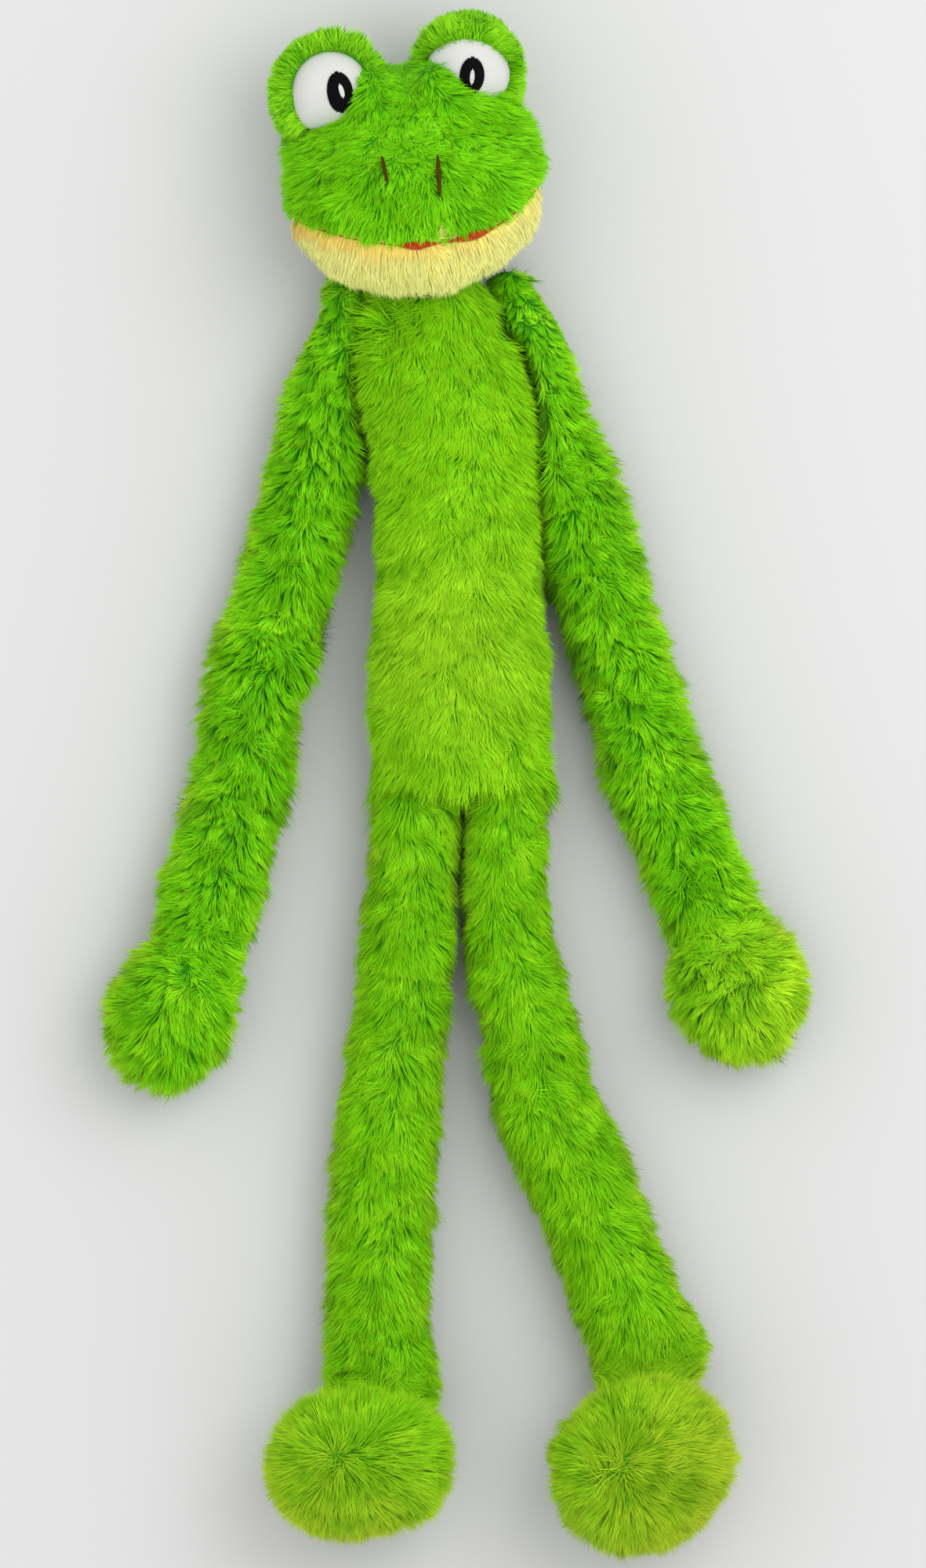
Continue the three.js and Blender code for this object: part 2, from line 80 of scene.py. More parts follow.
# The screen's colour curve.
SRGB_TOP = 255
SRGB_TOE = 0.04045
SRGB_SLOPE = 12.92
SRGB_LIFT = 0.055
SRGB_POWER = 2.4

# Where the camera sees the toy: the middle of the toy in the picture, the picture's size, its scale.
PICTURE_WIDTH_PX = 1181
PICTURE_HEIGHT_PX = 2000
ORIGIN_X_PX = 580.5
ORIGIN_Y_PX = 996.5
PIXEL = 0.284 * MM

# How cloth takes the light, and how its colour varies.
CLOTH_SPECULAR = 0.08
SHEEN_ROUGHNESS = 0.5
PATCH_SCALE = 64.0  # 1/m
PATCH_SWING = 2.4
SWING_MIDDLE = 1.7
CLOUD_SCALE = 60.0  # 1/m
CLOUD_DRIFT = 0.1
# painted shade between a knit's loops
LOOP_SHADE = -0.12
CLOTH_DETAIL = 3.0


def linear_share(share: float) -> float:
    """Takes the screen's colour curve off one part of a colour.

    Args:
        share: The part on the screen, from 0 to 1.

    Returns:
        The part as a shader takes it.
    """
    if share <= SRGB_TOE:
        return share / SRGB_SLOPE
    return ((share + SRGB_LIFT) / (1 + SRGB_LIFT)) ** SRGB_POWER


def linear(colour: Colour) -> tuple[float, float, float, float]:
    """A screen colour as the linear colour that a shader socket takes.

    Args:
        colour: Red, green and blue from 0 to 255.

    Returns:
        The linear colour with an alpha of 1.
    """
    return (*(linear_share(part / SRGB_TOP) for part in colour), 1.0)


class Side(Enum):
    """A side of the toy, with its name in the CAD and its sign along X."""

    RIGHT = ("right", -1)
    LEFT = ("left", 1)

    @property
    def label(self) -> str:
        """The side's name."""
        return self.value[0]

    @property
    def sign(self) -> int:
        """Minus 1 on the toy's right and 1 on its left."""
        return self.value[1]


class Wiring:
    """A node tree with short ways to add and join its nodes."""

    def __init__(self, tree: bpy.types.NodeTree) -> None:
        """Starts on an empty or existing tree."""
        self.tree = tree

    @classmethod
    def begun(cls, name: str, kind: str, inputs: dict[str, str], outputs: dict[str, str]) -> "Wiring":
        """Starts a new group.

        Args:
            name: The group's name.
            kind: The type of its tree.
            inputs: The kind of each input socket by its name.
            outputs: The kind of each output socket by its name.

        Returns:
            The wiring of the group.
        """
        wiring = cls(bpy.data.node_groups.new(name, kind))
        for way, sockets in (("INPUT", inputs), ("OUTPUT", outputs)):
            for key, value in sockets.items():
                wiring.tree.interface.new_socket(name=key, in_out=way, socket_type=f"NodeSocket{value}")
        return wiring

    def given(self) -> bpy.types.bpy_prop_collection:
        """The group's inputs, to be wired."""
        return self.add("NodeGroupInput").outputs

    def add(self, kind: str, inputs: dict | None = None, **settings: object) -> bpy.types.Node:
        """Adds a node.

        Args:
            kind: The node's type.
            inputs: Values or sockets by the input's name or place.
            **settings: Properties of the node.

        Returns:
            The new node.
        """
        node = self.tree.nodes.new(kind)
        for key, value in settings.items():
            setattr(node, key, value)
        for key, value in (inputs or {}).items():
            socket = node.inputs[key] if isinstance(key, int) else live(node.inputs, key)
            if isinstance(value, Socket):
                self.tree.links.new(value, socket)
            else:
                socket.default_value = value
        return node

    def math(self, operation: str, *values: object) -> Socket:
        """A number worked out from numbers."""
        return self.add("ShaderNodeMath", dict(enumerate(values)), operation=operation).outputs[0]

    def vector(self, operation: str, *values: object) -> Socket:
        """A vector, or for a dot product or length a number, worked out from vectors."""
        node = self.add("ShaderNodeVectorMath", dict(enumerate(values)), operation=operation)
        return live(node.outputs, "Value" if operation in ("DOT_PRODUCT", "LENGTH") else "Vector")

    def scaled(self, vector: object, factor: object) -> Socket:
        """A vector times a number."""
        node = self.add("ShaderNodeVectorMath", {0: vector, "Scale": factor}, operation="SCALE")
        return node.outputs[0]

    def flattened(self, vector: object, normal: object) -> Socket:
        """A vector without its part along a normal."""
        along = self.vector("DOT_PRODUCT", vector, normal)
        return self.vector("SUBTRACT", vector, self.scaled(normal, along))

    def split(self, vector: object) -> bpy.types.bpy_prop_collection:
        """The three numbers of a vector."""
        return self.add("ShaderNodeSeparateXYZ", {0: vector}).outputs

    def joined(self, **parts: object) -> Socket:
        """A vector made of its numbers X, Y and Z."""
        return self.add("ShaderNodeCombineXYZ", parts).outputs[0]

    def place(self) -> Socket:
        """Where each point of the geometry is."""
        return self.add("GeometryNodeInputPosition").outputs[0]

    def random(self, low: object, high: object, seed: object, kind: str = "FLOAT") -> Socket:
        """A random number or vector for each element."""
        inputs = {"Min": low, "Max": high, "Seed": seed}
        return live(self.add("FunctionNodeRandomValue", inputs, data_type=kind).outputs, "Value")

    def named(self, name: str, kind: str) -> Socket:
        """The value of a named attribute."""
        node = self.add("GeometryNodeInputNamedAttribute", {"Name": name}, data_type=kind)
        return live(node.outputs, "Attribute")

    def store(self, geometry: object, name: str, value: object, kind: str) -> Socket:
        """Stores a value on the points of a geometry.

        Args:
            geometry: The geometry.
            name: The name of the value's attribute.
            value: The value.
            kind: The type of the value.

        Returns:
            The geometry with the value.
        """
        inputs = {"Geometry": geometry, "Name": name, "Value": value}
        node = self.add("GeometryNodeStoreNamedAttribute", inputs, data_type=kind, domain="POINT")
        return node.outputs[0]

    def geometry(self, kind: str, geometry: object, **inputs: object) -> Socket:
        """The geometry that comes out of a node."""
        return self.add(f"GeometryNode{kind}", {"Geometry": geometry} | inputs).outputs[0]

    def mixed(self, factor: object, one: object, other: object) -> Socket:
        """Two colours mixed."""
        inputs = {"Factor": factor, "A": one, "B": other}
        return live(self.add("ShaderNodeMix", inputs, data_type="RGBA").outputs, "Result")


def live(sockets: Iterable[Socket], name: str) -> Socket:
    """The socket of that name which the node's settings leave in use."""
    return next(socket for socket in sockets if socket.name == name and socket.enabled)


def settle(thing: Thing) -> None:
    """Applies an object's modifiers and removes them.

    Args:
        thing: The object.
    """
    bpy.context.view_layer.update()
    graph = bpy.context.evaluated_depsgraph_get()
    mesh = bpy.data.meshes.new_from_object(thing.evaluated_get(graph))
    thing.modifiers.clear()
    thing.data = mesh


def run_tree(thing: Thing, tree: bpy.types.NodeTree, values: dict[str, object]) -> None:
    """Runs a Geometry Nodes tree on an object and keeps what it makes as a plain mesh.

    Args:
        thing: The object.
        tree: The tree.
        values: The tree's inputs by their names.
    """
    modifier = thing.modifiers.new(tree.name, "NODES")
    modifier.node_group = tree
    for item in tree.interface.items_tree:
        if item.in_out == "INPUT" and item.name in values:
            modifier[item.identifier] = values[item.name]
    settle(thing)


def placed(name: str, mesh: Mesh) -> Thing:
    """Shows a mesh.

    Args:
        name: The new object's name.
        mesh: The mesh.

    Returns:
        The object, at the origin.
    """
    thing = bpy.data.objects.new(name, mesh)
    bpy.context.scene.collection.objects.link(thing)
    return thing


def made_mesh(name: str, built: bmesh.types.BMesh) -> Mesh:
    """Finishes a mesh.

    Args:
        name: The mesh's name.
        built: Its geometry, which is freed.

    Returns:
        The mesh.
    """
    mesh = bpy.data.meshes.new(name)
    built.to_mesh(mesh)
    built.free()
    return mesh


def opened(mesh: Mesh) -> bmesh.types.BMesh:
    """Opens a copy of a mesh to be worked on.

    Args:
        mesh: The mesh.

    Returns:
        The copy.
    """
    built = bmesh.new()
    built.from_mesh(mesh)
    return built


def vectors(rows: bpy.types.bpy_prop_collection, key: str) -> np.ndarray:
    """Reads a vector from each row of a collection.

    Args:
        rows: The collection.
        key: The name of the vector.

    Returns:
        The vectors, one row each.
    """
    flat = np.empty(len(rows) * 3, np.float32)
    rows.foreach_get(key, flat)
    return flat.reshape(-1, 3)


def places(mesh: Mesh) -> np.ndarray:
    """The places of a mesh's vertices, one row each."""
    return vectors(mesh.vertices, "co")


def normals(mesh: Mesh) -> np.ndarray:
    """The normals of a mesh's vertices, one row each."""
    return vectors(mesh.vertex_normals, "vector")


def put(mesh: Mesh, rows: np.ndarray) -> None:
    """Moves a mesh's vertices to new places."""
    mesh.vertices.foreach_set("co", rows.astype(np.float32).ravel())
    mesh.update()


def paint(mesh: Mesh, **layers: np.ndarray) -> None:
    """Stores numbers or vectors on the vertices of a mesh.

    Args:
        mesh: The mesh.
        **layers: The values of each attribute by its name, one row for each vertex.
    """
    for name, values in layers.items():
        kind, key = ("FLOAT_VECTOR", "vector") if values.ndim == 2 else ("FLOAT", "value")
        attribute = mesh.attributes.new(name, kind, "POINT")
        attribute.data.foreach_set(key, values.astype(np.float32).ravel())


# Finishes.


@dataclass(frozen=True)
class PileFinish:
    """A dyed pile, mottled from tuft to tuft: darker at the root, as painted shade deep in the pile,
    and lighter at the tip.
    """

    name: str
    # the root's colour: darker, as painted shade deep in the pile
    root: Colour
    middle: Colour
    tip: Colour
    flush: Colour  # where the dye changes, and where painted light and painted shade are mixed in
    mottle: float
    roughness: float = 0.62
    sheen: float = 0.03
    backing_stitch: float = 0.9 * MM
    backing_roughness: float = 0.9

    def material(self) -> bpy.types.Material:
        """Makes the material of the strands.

        Returns:
            The material.
        """
        material, wiring, shader = cloth_material(f"{self.name}_pile", self.roughness, self.sheen)
        dyes = {"Root": self.root, "Middle": self.middle, "Tip": self.tip, "Flush": self.flush}
        inputs = {key: linear(colour) for key, colour in dyes.items()} | {"Mottle": self.mottle}
        group = wiring.add("ShaderNodeGroup", inputs, node_tree=pile_colour_group())
        wiring.tree.links.new(group.outputs["Colour"], shader.inputs["Base Color"])
        return material

    def backing(self) -> bpy.types.Material:
        """The knitted backing that the pile stands on, coloured as its roots are, with their painted
        shade.
        """
        name = f"{self.name}_backing"
        return KnitFinish(name, self.root, self.backing_stitch, self.backing_roughness).material()


@dataclass(frozen=True)
class KnitFinish:
    """A fine knitted or felted cloth of one colour."""

    name: str
    colour: Colour
    stitch: float
    roughness: float
    sheen: float = 0.2
    relief: float = 0.12

    def material(self) -> bpy.types.Material:
        """Makes the material of the cloth.

        Returns:
            The material.
        """
        material, wiring, shader = cloth_material(self.name, self.roughness, self.sheen)
        inputs = {"Colour": linear(self.colour), "Stitch": self.stitch}
        group = wiring.add("ShaderNodeGroup", inputs, node_tree=knit_group())
        wiring.tree.links.new(group.outputs["Colour"], shader.inputs["Base Color"])
        inputs = {"Height": group.outputs["Height"], "Strength": self.relief, "Distance": self.stitch}
        bump = wiring.add("ShaderNodeBump", inputs)
        wiring.tree.links.new(bump.outputs["Normal"], shader.inputs["Normal"])
        return material


@dataclass(frozen=True)
class ThreadFinish:
    """A shiny embroidery thread, its lustre broken by its twist."""

    name: str
    colour: Colour
    twist: float = 0.5 * MM
    roughness: float = 0.42
    relief: float = 0.3

    def material(self) -> bpy.types.Material:
        """The thread's material."""
        knit = KnitFinish(self.name, self.colour, self.twist, self.roughness, 0.0, self.relief)
        return knit.material()


def cloth_material(
    name: str, roughness: float, sheen: float
) -> tuple[bpy.types.Material, Wiring, bpy.types.Node]:
    """A new material with a Principled shader set as cloth.

    Args:
        name: The material's name.
        roughness: The shader's roughness.
        sheen: The shader's sheen weight.

    Returns:
        The material, its wiring and its shader.
    """
    material = bpy.data.materials.new(name)
    material.use_nodes = True
    shader = material.node_tree.nodes["Principled BSDF"]
    for key, value in {
        "Roughness": roughness,
        "Specular IOR Level": CLOTH_SPECULAR,
        "Sheen Weight": sheen,
        "Sheen Roughness": SHEEN_ROUGHNESS,
    }.items():
        shader.inputs[key].default_value = value
    return material, Wiring(material.node_tree), shader


def pile_colour_group() -> bpy.types.NodeTree:
    """The shader group that colours a strand by its height, darker low down as painted shade in the
    pile, by its tuft and by its place on the toy.

    Returns:
        The group, made once.
    """
    name = "pile_colour"
    if name in bpy.data.node_groups:
        return bpy.data.node_groups[name]
    dyes = dict.fromkeys(("Root", "Middle", "Tip", "Flush"), "Color")
    wiring = Wiring.begun(name, "ShaderNodeTree", dyes | {"Mottle": "Float"}, {"Colour": "Color"})
    given = wiring.given()
    along, tuft, flush = (
        wiring.add("ShaderNodeAttribute", attribute_name=key).outputs["Fac"]
        for key in ("along", "tuft", "flush")
    )
    place = wiring.add("ShaderNodeTexCoord").outputs["Object"]
    noise = {"Vector": place, "Scale": PATCH_SCALE, "Detail": CLOTH_DETAIL}
    patch = wiring.add("ShaderNodeTexNoise", noise).outputs["Fac"]
    # darker towards the root: painted shade deep in the pile
    low = wiring.math("MULTIPLY", along, 2.0)
    lower = wiring.mixed(low, given["Root"], given["Middle"])
    dyed = wiring.mixed(wiring.math("SUBTRACT", low, 1.0), lower, given["Tip"])
    swing = wiring.math("ADD", tuft, wiring.math("MULTIPLY", patch, PATCH_SWING))
    swing = wiring.math("MULTIPLY", wiring.math("SUBTRACT", swing, SWING_MIDDLE), given["Mottle"])
    # the flush: a change of dye, painted light and painted shade, mixed with the mottle
    dyed = wiring.mixed(wiring.math("ADD", flush, swing), dyed, given["Flush"])
    gain = wiring.math("ADD", swing, 1.0)
    lit = wiring.add("ShaderNodeHueSaturation", {"Color": dyed, "Value": gain})
    wiring.add("NodeGroupOutput", {"Colour": lit.outputs[0]})
    return wiring.tree


def knit_group() -> bpy.types.NodeTree:
    """The shader group of a fine knit: a colour that varies a little, darker between the loops as
    painted shade, and the height of its loops.

    Returns:
        The group, made once.
    """
    name = "knit"
    if name in bpy.data.node_groups:
        return bpy.data.node_groups[name]
    inputs, outputs = {"Colour": "Color", "Stitch": "Float"}, {"Colour": "Color", "Height": "Float"}
    wiring = Wiring.begun(name, "ShaderNodeTree", inputs, outputs)
    given = wiring.given()
    place = wiring.add("ShaderNodeTexCoord").outputs["Object"]
    fine = wiring.math("DIVIDE", 1.0, given["Stitch"])
    loops = wiring.add("ShaderNodeTexVoronoi", {"Vector": place, "Scale": fine}).outputs["Distance"]
    noise = {"Vector": place, "Scale": CLOUD_SCALE, "Detail": CLOTH_DETAIL}
    cloud = wiring.add("ShaderNodeTexNoise", noise).outputs["Fac"]
    shade = wiring.math("MULTIPLY", loops, LOOP_SHADE)
    drift = wiring.math("MULTIPLY", cloud, CLOUD_DRIFT)
    gain = wiring.math("ADD", wiring.math("ADD", shade, drift), 1.0)
    lit = wiring.add("ShaderNodeHueSaturation", {"Color": given["Colour"], "Value": gain}).outputs[0]
    wiring.add("NodeGroupOutput", {"Colour": lit, "Height": wiring.math("SUBTRACT", 1.0, loops)})
    return wiring.tree


BODY_PILE = PileFinish("body", (56, 138, 2), (128, 218, 3), (156, 227, 15), (179, 228, 38), 0.24)
ARM_PILE = PileFinish("arm", (38, 124, 2), (106, 210, 2), (142, 228, 8), (183, 228, 35), 0.36)
LEG_PILE = PileFinish("leg", (60, 146, 2), (118, 211, 2), (145, 224, 9), (175, 202, 38), 0.34)
FACE_PILE = PileFinish("face", (60, 152, 2), (112, 217, 2), (141, 228, 6), (175, 228, 44), 0.28)
JAW_PILE = PileFinish("jaw", (255, 236, 110), (255, 252, 142), (255, 254, 160), (255, 186, 70), 0.05)
EYE_CLOTH = KnitFinish("eye_cloth", (204, 204, 201), 0.5 * MM, 0.8, 0.15, 0.08)
MOUTH_FELT = KnitFinish("mouth_felt", (172, 50, 5), 0.6 * MM, 0.9, 0.2, 0.3)
BLACK_THREAD = ThreadFinish("black_thread", (4, 4, 5))
WHITE_THREAD = ThreadFinish("white_thread", (220, 221, 222))
BROWN_THREAD = ThreadFinish("brown_thread", (71, 58, 0))


# The pile.


@dataclass(frozen=True)
class PileCut:
    """How a pile is cut and lies, in metres or as shares of a strand's length."""

    length: float = 10 * MM
    width: float = 0.3 * MM  # from a strand's middle to its edge at the root
    density: float = 2.8 / MM**2
    lie: float = 0.84  # how far it leans along the comb
    stand: float = 0.5  # how far it stands off the backing
    tuft: float = 3.2 * MM  # the size of the tufts that it gathers in
    gather: float = 0.6
    lock: float = 8 * MM  # the size of the broader locks that it is drawn into
    draw: float = 0.25
    stray: float = 0.28
    curl: float = 0.5
    uneven: float = 0.5


class PileTree:
    """The Geometry Nodes tree that grows strands on a backing and keeps the backing."""

    SIDES = 3
    CURL_SCALE = 110.0  # 1/m
    CURL_SWING = 4.0
    LUMP_SCALE = 80.0  # 1/m
    LENGTHS = (0.72, 1.14)  # of single strands, as shares of the cut's
    LIFTS = (0.7, 1.2)
    WIDTHS = (0.7, 1.25)
    ROLL_SEED = 3
    WIDTH_SEED = 5
    LIFT_SEED = 7
    GROUND = 0.25 * MM  # how near the ground a strand comes
    NAP = 0.8  # how far its normals lean to the backing's
    UPRIGHT_NAP = 0.45  # of the backing's normal, for strands that stand up
    EDGE_NAP = 0.25  # where the backing is steep or overhangs a little
    EDGE_TILT = -0.25
    EDGE_SPAN = 0.4
    SPARES = ("comb", "pile", "lift", "grows", "ground")  # attributes of no use in the finished piece

    def __init__(self) -> None:
        """Builds the tree."""
        sizes = {size.name.capitalize(): "Float" for size in fields(PileCut)}
        materials = dict.fromkeys(("Pile", "Backing"), "Material")
        inputs = {"Geometry": "Geometry", **sizes, "Seed": "Int", **materials}
        self.wiring = Wiring.begun("pile", "GeometryNodeTree", inputs, {"Geometry": "Geometry"})
        wiring = self.wiring
        self.given = wiring.given()
        strands = self._grounded(self._planted(self._strand()))
        dressed = wiring.geometry("SetMaterial", strands, Material=self.given["Pile"])
        cloth = wiring.geometry("SetMaterial", self.given["Geometry"], Material=self.given["Backing"])
        both = wiring.add("GeometryNodeJoinGeometry")
        wiring.tree.links.new(dressed, both.inputs[0])
        wiring.tree.links.new(cloth, both.inputs[0])
        wiring.add("NodeGroupOutput", {"Geometry": wiring.geometry("SetShadeSmooth", both.outputs[0])})

    def _strand(self) -> Socket:
        """Makes one strand.

        Returns:
            A closed spike of unit height and radius, with its height stored on it.
        """
        wiring = self.wiring
        sizes = {"Side Segments": 1, "Radius Top": 0.0, "Radius Bottom": 1.0, "Depth": 1.0}
        spike = wiring.add("GeometryNodeMeshCone", {"Vertices": self.SIDES} | sizes, fill_type="NGON")
        height = wiring.split(wiring.place())["Z"]
        return wiring.store(spike.outputs["Mesh"], "along", height, "FLOAT")

    def _pull(self, place: object, normal: object, size: object) -> tuple[Socket, Socket]:
        """Draws strands together in cells.

        Args:
            place: The strand's root.
            normal: The backing's normal there.
            size: The cell's size.

        Returns:
            The way to the cell's middle along the backing, and the cell's random colour.
        """
        wiring = self.wiring
        fine = wiring.math("DIVIDE", 1.0, size)
        cells = wiring.add("ShaderNodeTexVoronoi", {"Vector": place, "Scale": fine})
        way = wiring.vector("SUBTRACT", cells.outputs["Position"], place)
        return wiring.flattened(way, normal), cells.outputs["Color"]

    def _way(self, place: object, normal: object) -> Socket:
        """Finds which way each strand lies along the backing.

        Args:
            place: The strand's root.
            normal: The backing's normal there.

        Returns:
            A unit vector: the comb, swirled by the curl and strayed from.
        """
        wiring, given = self.wiring, self.given
        noise = {"Vector": place, "Scale": self.CURL_SCALE, "Detail": 1.0}
        swirl = wiring.add("ShaderNodeTexNoise", noise).outputs["Color"]
        swirl = wiring.scaled(wiring.vector("SUBTRACT", swirl, (0.5, 0.5, 0.5)), given["Curl"])
        swirl = wiring.scaled(swirl, self.CURL_SWING)
        loose = wiring.random((-1.0, -1.0, -1.0), (1.0, 1.0, 1.0), given["Seed"], "FLOAT_VECTOR")
        way = wiring.vector("ADD", wiring.named("comb", "FLOAT_VECTOR"), swirl)
        way = wiring.vector("ADD", way, wiring.scaled(loose, given["Stray"]))
        return wiring.vector("NORMALIZE", wiring.flattened(way, normal))

    def _grown(self, place: object) -> Socket:
        """Finds how long each strand is.

        Args:
            place: The strand's root.

        Returns:
            Its length, which varies from strand to strand and in lumps.
        """
        wiring, given = self.wiring, self.given
        grown = wiring.math("MULTIPLY", given["Length"], wiring.named("pile", "FLOAT"))
        grown = wiring.math("MULTIPLY", grown, wiring.random(*self.LENGTHS, given["Seed"]))
        noise = {"Vector": place, "Scale": self.LUMP_SCALE, "Detail": 0.0}
        lumps = wiring.math("SUBTRACT", wiring.add("ShaderNodeTexNoise", noise).outputs["Fac"], 0.5)
        lumps = wiring.math("MULTIPLY", wiring.math("MULTIPLY", lumps, given["Uneven"]), 2.0)
        return wiring.math("MULTIPLY", grown, wiring.math("ADD", 1.0, lumps))

    def _turned(self, tip: object) -> Socket:
        """Turns each strand along its tip.

        Args:
            tip: The way from its root to its tip.

        Returns:
            Its rotation, with a random roll.
        """
        wiring = self.wiring
        lying = wiring.add("FunctionNodeAlignRotationToVector", {"Vector": tip}, axis="Z").outputs[0]
        about = {"Axis": (0.0, 0.0, 1.0), "Angle": wiring.random(0.0, math.tau, self.ROLL_SEED)}
        roll = wiring.add("FunctionNodeAxisAngleToRotation", about).outputs[0]
        both = {"Rotation": lying, "Rotate By": roll}
        return wiring.add("FunctionNodeRotateRotation", both, rotation_space="LOCAL").outputs[0]

    def _planted(self, strand: object) -> Socket:
        """Plants strands on the backing.

        Args:
            strand: The strand of unit size.

        Returns:
            Instances of it, each turned and stretched from its root to its tip.
        """
        wiring, given = self.wiring, self.given
        inputs = {"Mesh": given["Geometry"], "Selection": wiring.named("grows", "BOOLEAN")}
        inputs |= {key: given[key] for key in ("Density", "Seed")}
        spread = wiring.add("GeometryNodeDistributePointsOnFaces", inputs, distribute_method="RANDOM")
        place, normal = wiring.place(), spread.outputs["Normal"]
        near_tuft, tint = self._pull(place, normal, given["Tuft"])
        near_lock, _ = self._pull(place, normal, given["Lock"])
        grown = self._grown(place)
        lift = wiring.math("MULTIPLY", grown, given["Stand"])
        lift = wiring.math("MULTIPLY", lift, wiring.random(*self.LIFTS, self.LIFT_SEED))
        lift = wiring.math("MULTIPLY", lift, wiring.named("lift", "FLOAT"))
        tip = wiring.scaled(self._way(place, normal), wiring.math("MULTIPLY", grown, given["Lie"]))
        for pull, share in ((normal, lift), (near_tuft, given["Gather"]), (near_lock, given["Draw"])):
            tip = wiring.vector("ADD", tip, wiring.scaled(pull, share))
        points = wiring.store(spread.outputs["Points"], "tuft", wiring.split(tint)["X"], "FLOAT")
        aside = wiring.flattened(normal, wiring.vector("NORMALIZE", tip))
        ground = wiring.vector("ADD", aside, wiring.scaled(normal, self.UPRIGHT_NAP))
        points = wiring.store(points, "ground", ground, "FLOAT_VECTOR")
        thick = wiring.math("MULTIPLY", given["Width"], wiring.random(*self.WIDTHS, self.WIDTH_SEED))
        size = wiring.joined(X=thick, Y=thick, Z=wiring.vector("LENGTH", tip))
        inputs = {"Points": points, "Instance": strand, "Rotation": self._turned(tip), "Scale": size}
        return wiring.add("GeometryNodeInstanceOnPoints", inputs).outputs[0]

    def _grounded(self, strands: object) -> Socket:
        """Keeps strands above the ground.

        Args:
            strands: Their instances.

        Returns:
            The strands as real geometry.
        """
        wiring = self.wiring
        real = wiring.geometry("RealizeInstances", strands)
        bent = wiring.split(wiring.place())
        height = wiring.math("MAXIMUM", bent["Z"], self.GROUND)
        place = wiring.joined(X=bent["X"], Y=bent["Y"], Z=height)
        return wiring.geometry("SetPosition", real, Position=place)

    def grow(self, name: str, backing: Mesh, cut: PileCut, finish: PileFinish, seed: int) -> Thing:
        """Grows a pile on a backing.

        Args:
            name: The name of the piece.
            backing: A closed mesh with its comb, pile, lift, flush and grows attributes.
            cut: How the pile is cut.
            finish: How it is dyed.
            seed: The seed of everything random.

        Returns:
            The piece: the backing and its strands as one plain mesh.
        """
        piece = placed(name, backing)
        thinned = 1.0
        cut = replace(cut, density=cut.density * thinned, width=cut.width / math.sqrt(thinned))
        values = {key.capitalize(): value for key, value in asdict(cut).items()}
        values |= {"Seed": seed, "Pile": finish.material(), "Backing": finish.backing()}
        run_tree(piece, self.wiring.tree, values)
        self._soften(piece.data)
        for spare in self.SPARES:
            attribute = piece.data.attributes.get(spare)
            if attribute:
                piece.data.attributes.remove(attribute)
        return piece

    def _soften(self, mesh: Mesh) -> None:
        """Leans the strands' normals away from the backing, so that the pile is lit as one nap.

        Args:
            mesh: The finished piece.
        """
        ground = unit(vectors(mesh.attributes["ground"].data, "vector"))
        steep = np.exp(-(((ground[:, 2:] - self.EDGE_TILT) / self.EDGE_SPAN) ** 2))
        nap = self.NAP + (self.EDGE_NAP - self.NAP) * steep
        leaned = normals(mesh) * (1 - nap) + ground * nap
        mesh.normals_split_custom_set_from_vertices(unit(leaned))


# Backings.


@dataclass(frozen=True)
class Bulge:
    """Where a stuffed part lies aside of its solid, or is fuller, placed on the picture."""

    across_px: float
    down_px: float
    reach: float
    across: float = 0.0  # how far it lies aside
    up: float = 0.0
    swell: float = 0.0  # how much fuller it is

    def shift(self, points: np.ndarray, outward: np.ndarray) -> np.ndarray:
        """How points of a backing move.

        Args:
            points: The points.
            outward: The backing's normals there.

        Returns:
            A way to move for each point.
        """
        spot = np.array(seen(self.across_px, self.down_px, 0))
        away = np.linalg.norm(points[:, :2] - spot, axis=1) / self.reach
        way = np.array([self.across, self.up, 0]) + outward * self.swell
        return way * np.exp(-away * away)[:, None]


def bulge_out(mesh: Mesh, bulges: Iterable[Bulge]) -> None:
    """Moves a mesh's vertices as its bulges say."""
    points, outward = places(mesh), normals(mesh)
    put(mesh, points + sum(bulge.shift(points, outward) for bulge in bulges))


@dataclass
class Backing:
    """The cloth form under a pile, made from the CAD solids of one stuffed part."""

    nodes: list[str]
    voxel: float = 3 * MM
    closing: float = 2 * MM  # swelled by this and drawn in again, to close narrow gaps
    inset: float = 6 * MM
    first_smoothing: int = 2
    smoothing: int = 6
    steps: int = 4  # in which it is drawn in
    sunk: Callable[[np.ndarray], np.ndarray] | None = None  # the inset from place to place
    extras: list[Mesh] = field(default_factory=list)
    bulges: tuple[Bulge, ...] = ()

    def form(self) -> Thing:
        """Makes one closed skin, set in from the outline of the solids by the height of the pile.

        Returns:
            The skin.
        """
        built = bmesh.new()
        for mesh in [frame["nodes"][node].data for node in self.nodes] + self.extras:
            built.from_mesh(mesh)
        bmesh.ops.remove_doubles(built, verts=built.verts, dist=WELD)
        skin = placed("form", made_mesh("form", built))
        self._remesh(skin)
        put(skin.data, places(skin.data) + normals(skin.data) * self.closing)
        self._remesh(skin)
        self._smooth(skin, self.first_smoothing)
        points = places(skin.data)
        depth = self.closing + (self.sunk(points) if self.sunk else np.full(len(points), self.inset))
        for _ in range(self.steps):
            put(skin.data, places(skin.data) - normals(skin.data) * depth[:, None] / self.steps)
            self._smooth(skin, 1)
        self._smooth(skin, self.smoothing)
        bulge_out(skin.data, self.bulges)
        return skin

    def _remesh(self, skin: Thing) -> None:
        """Joins everything into one skin of even quads and keeps its outer shell.

        Args:
            skin: The skin.
        """
        modifier = skin.modifiers.new("even", "REMESH")
        modifier.mode = "VOXEL"
        modifier.voxel_size = self.voxel
        settle(skin)
        keep_outer_shell(skin.data)

    def _smooth(self, skin: Thing, times: int) -> None:
        """Relaxes the skin."""
        skin.modifiers.new("relax", "SMOOTH").iterations = times
        settle(skin)


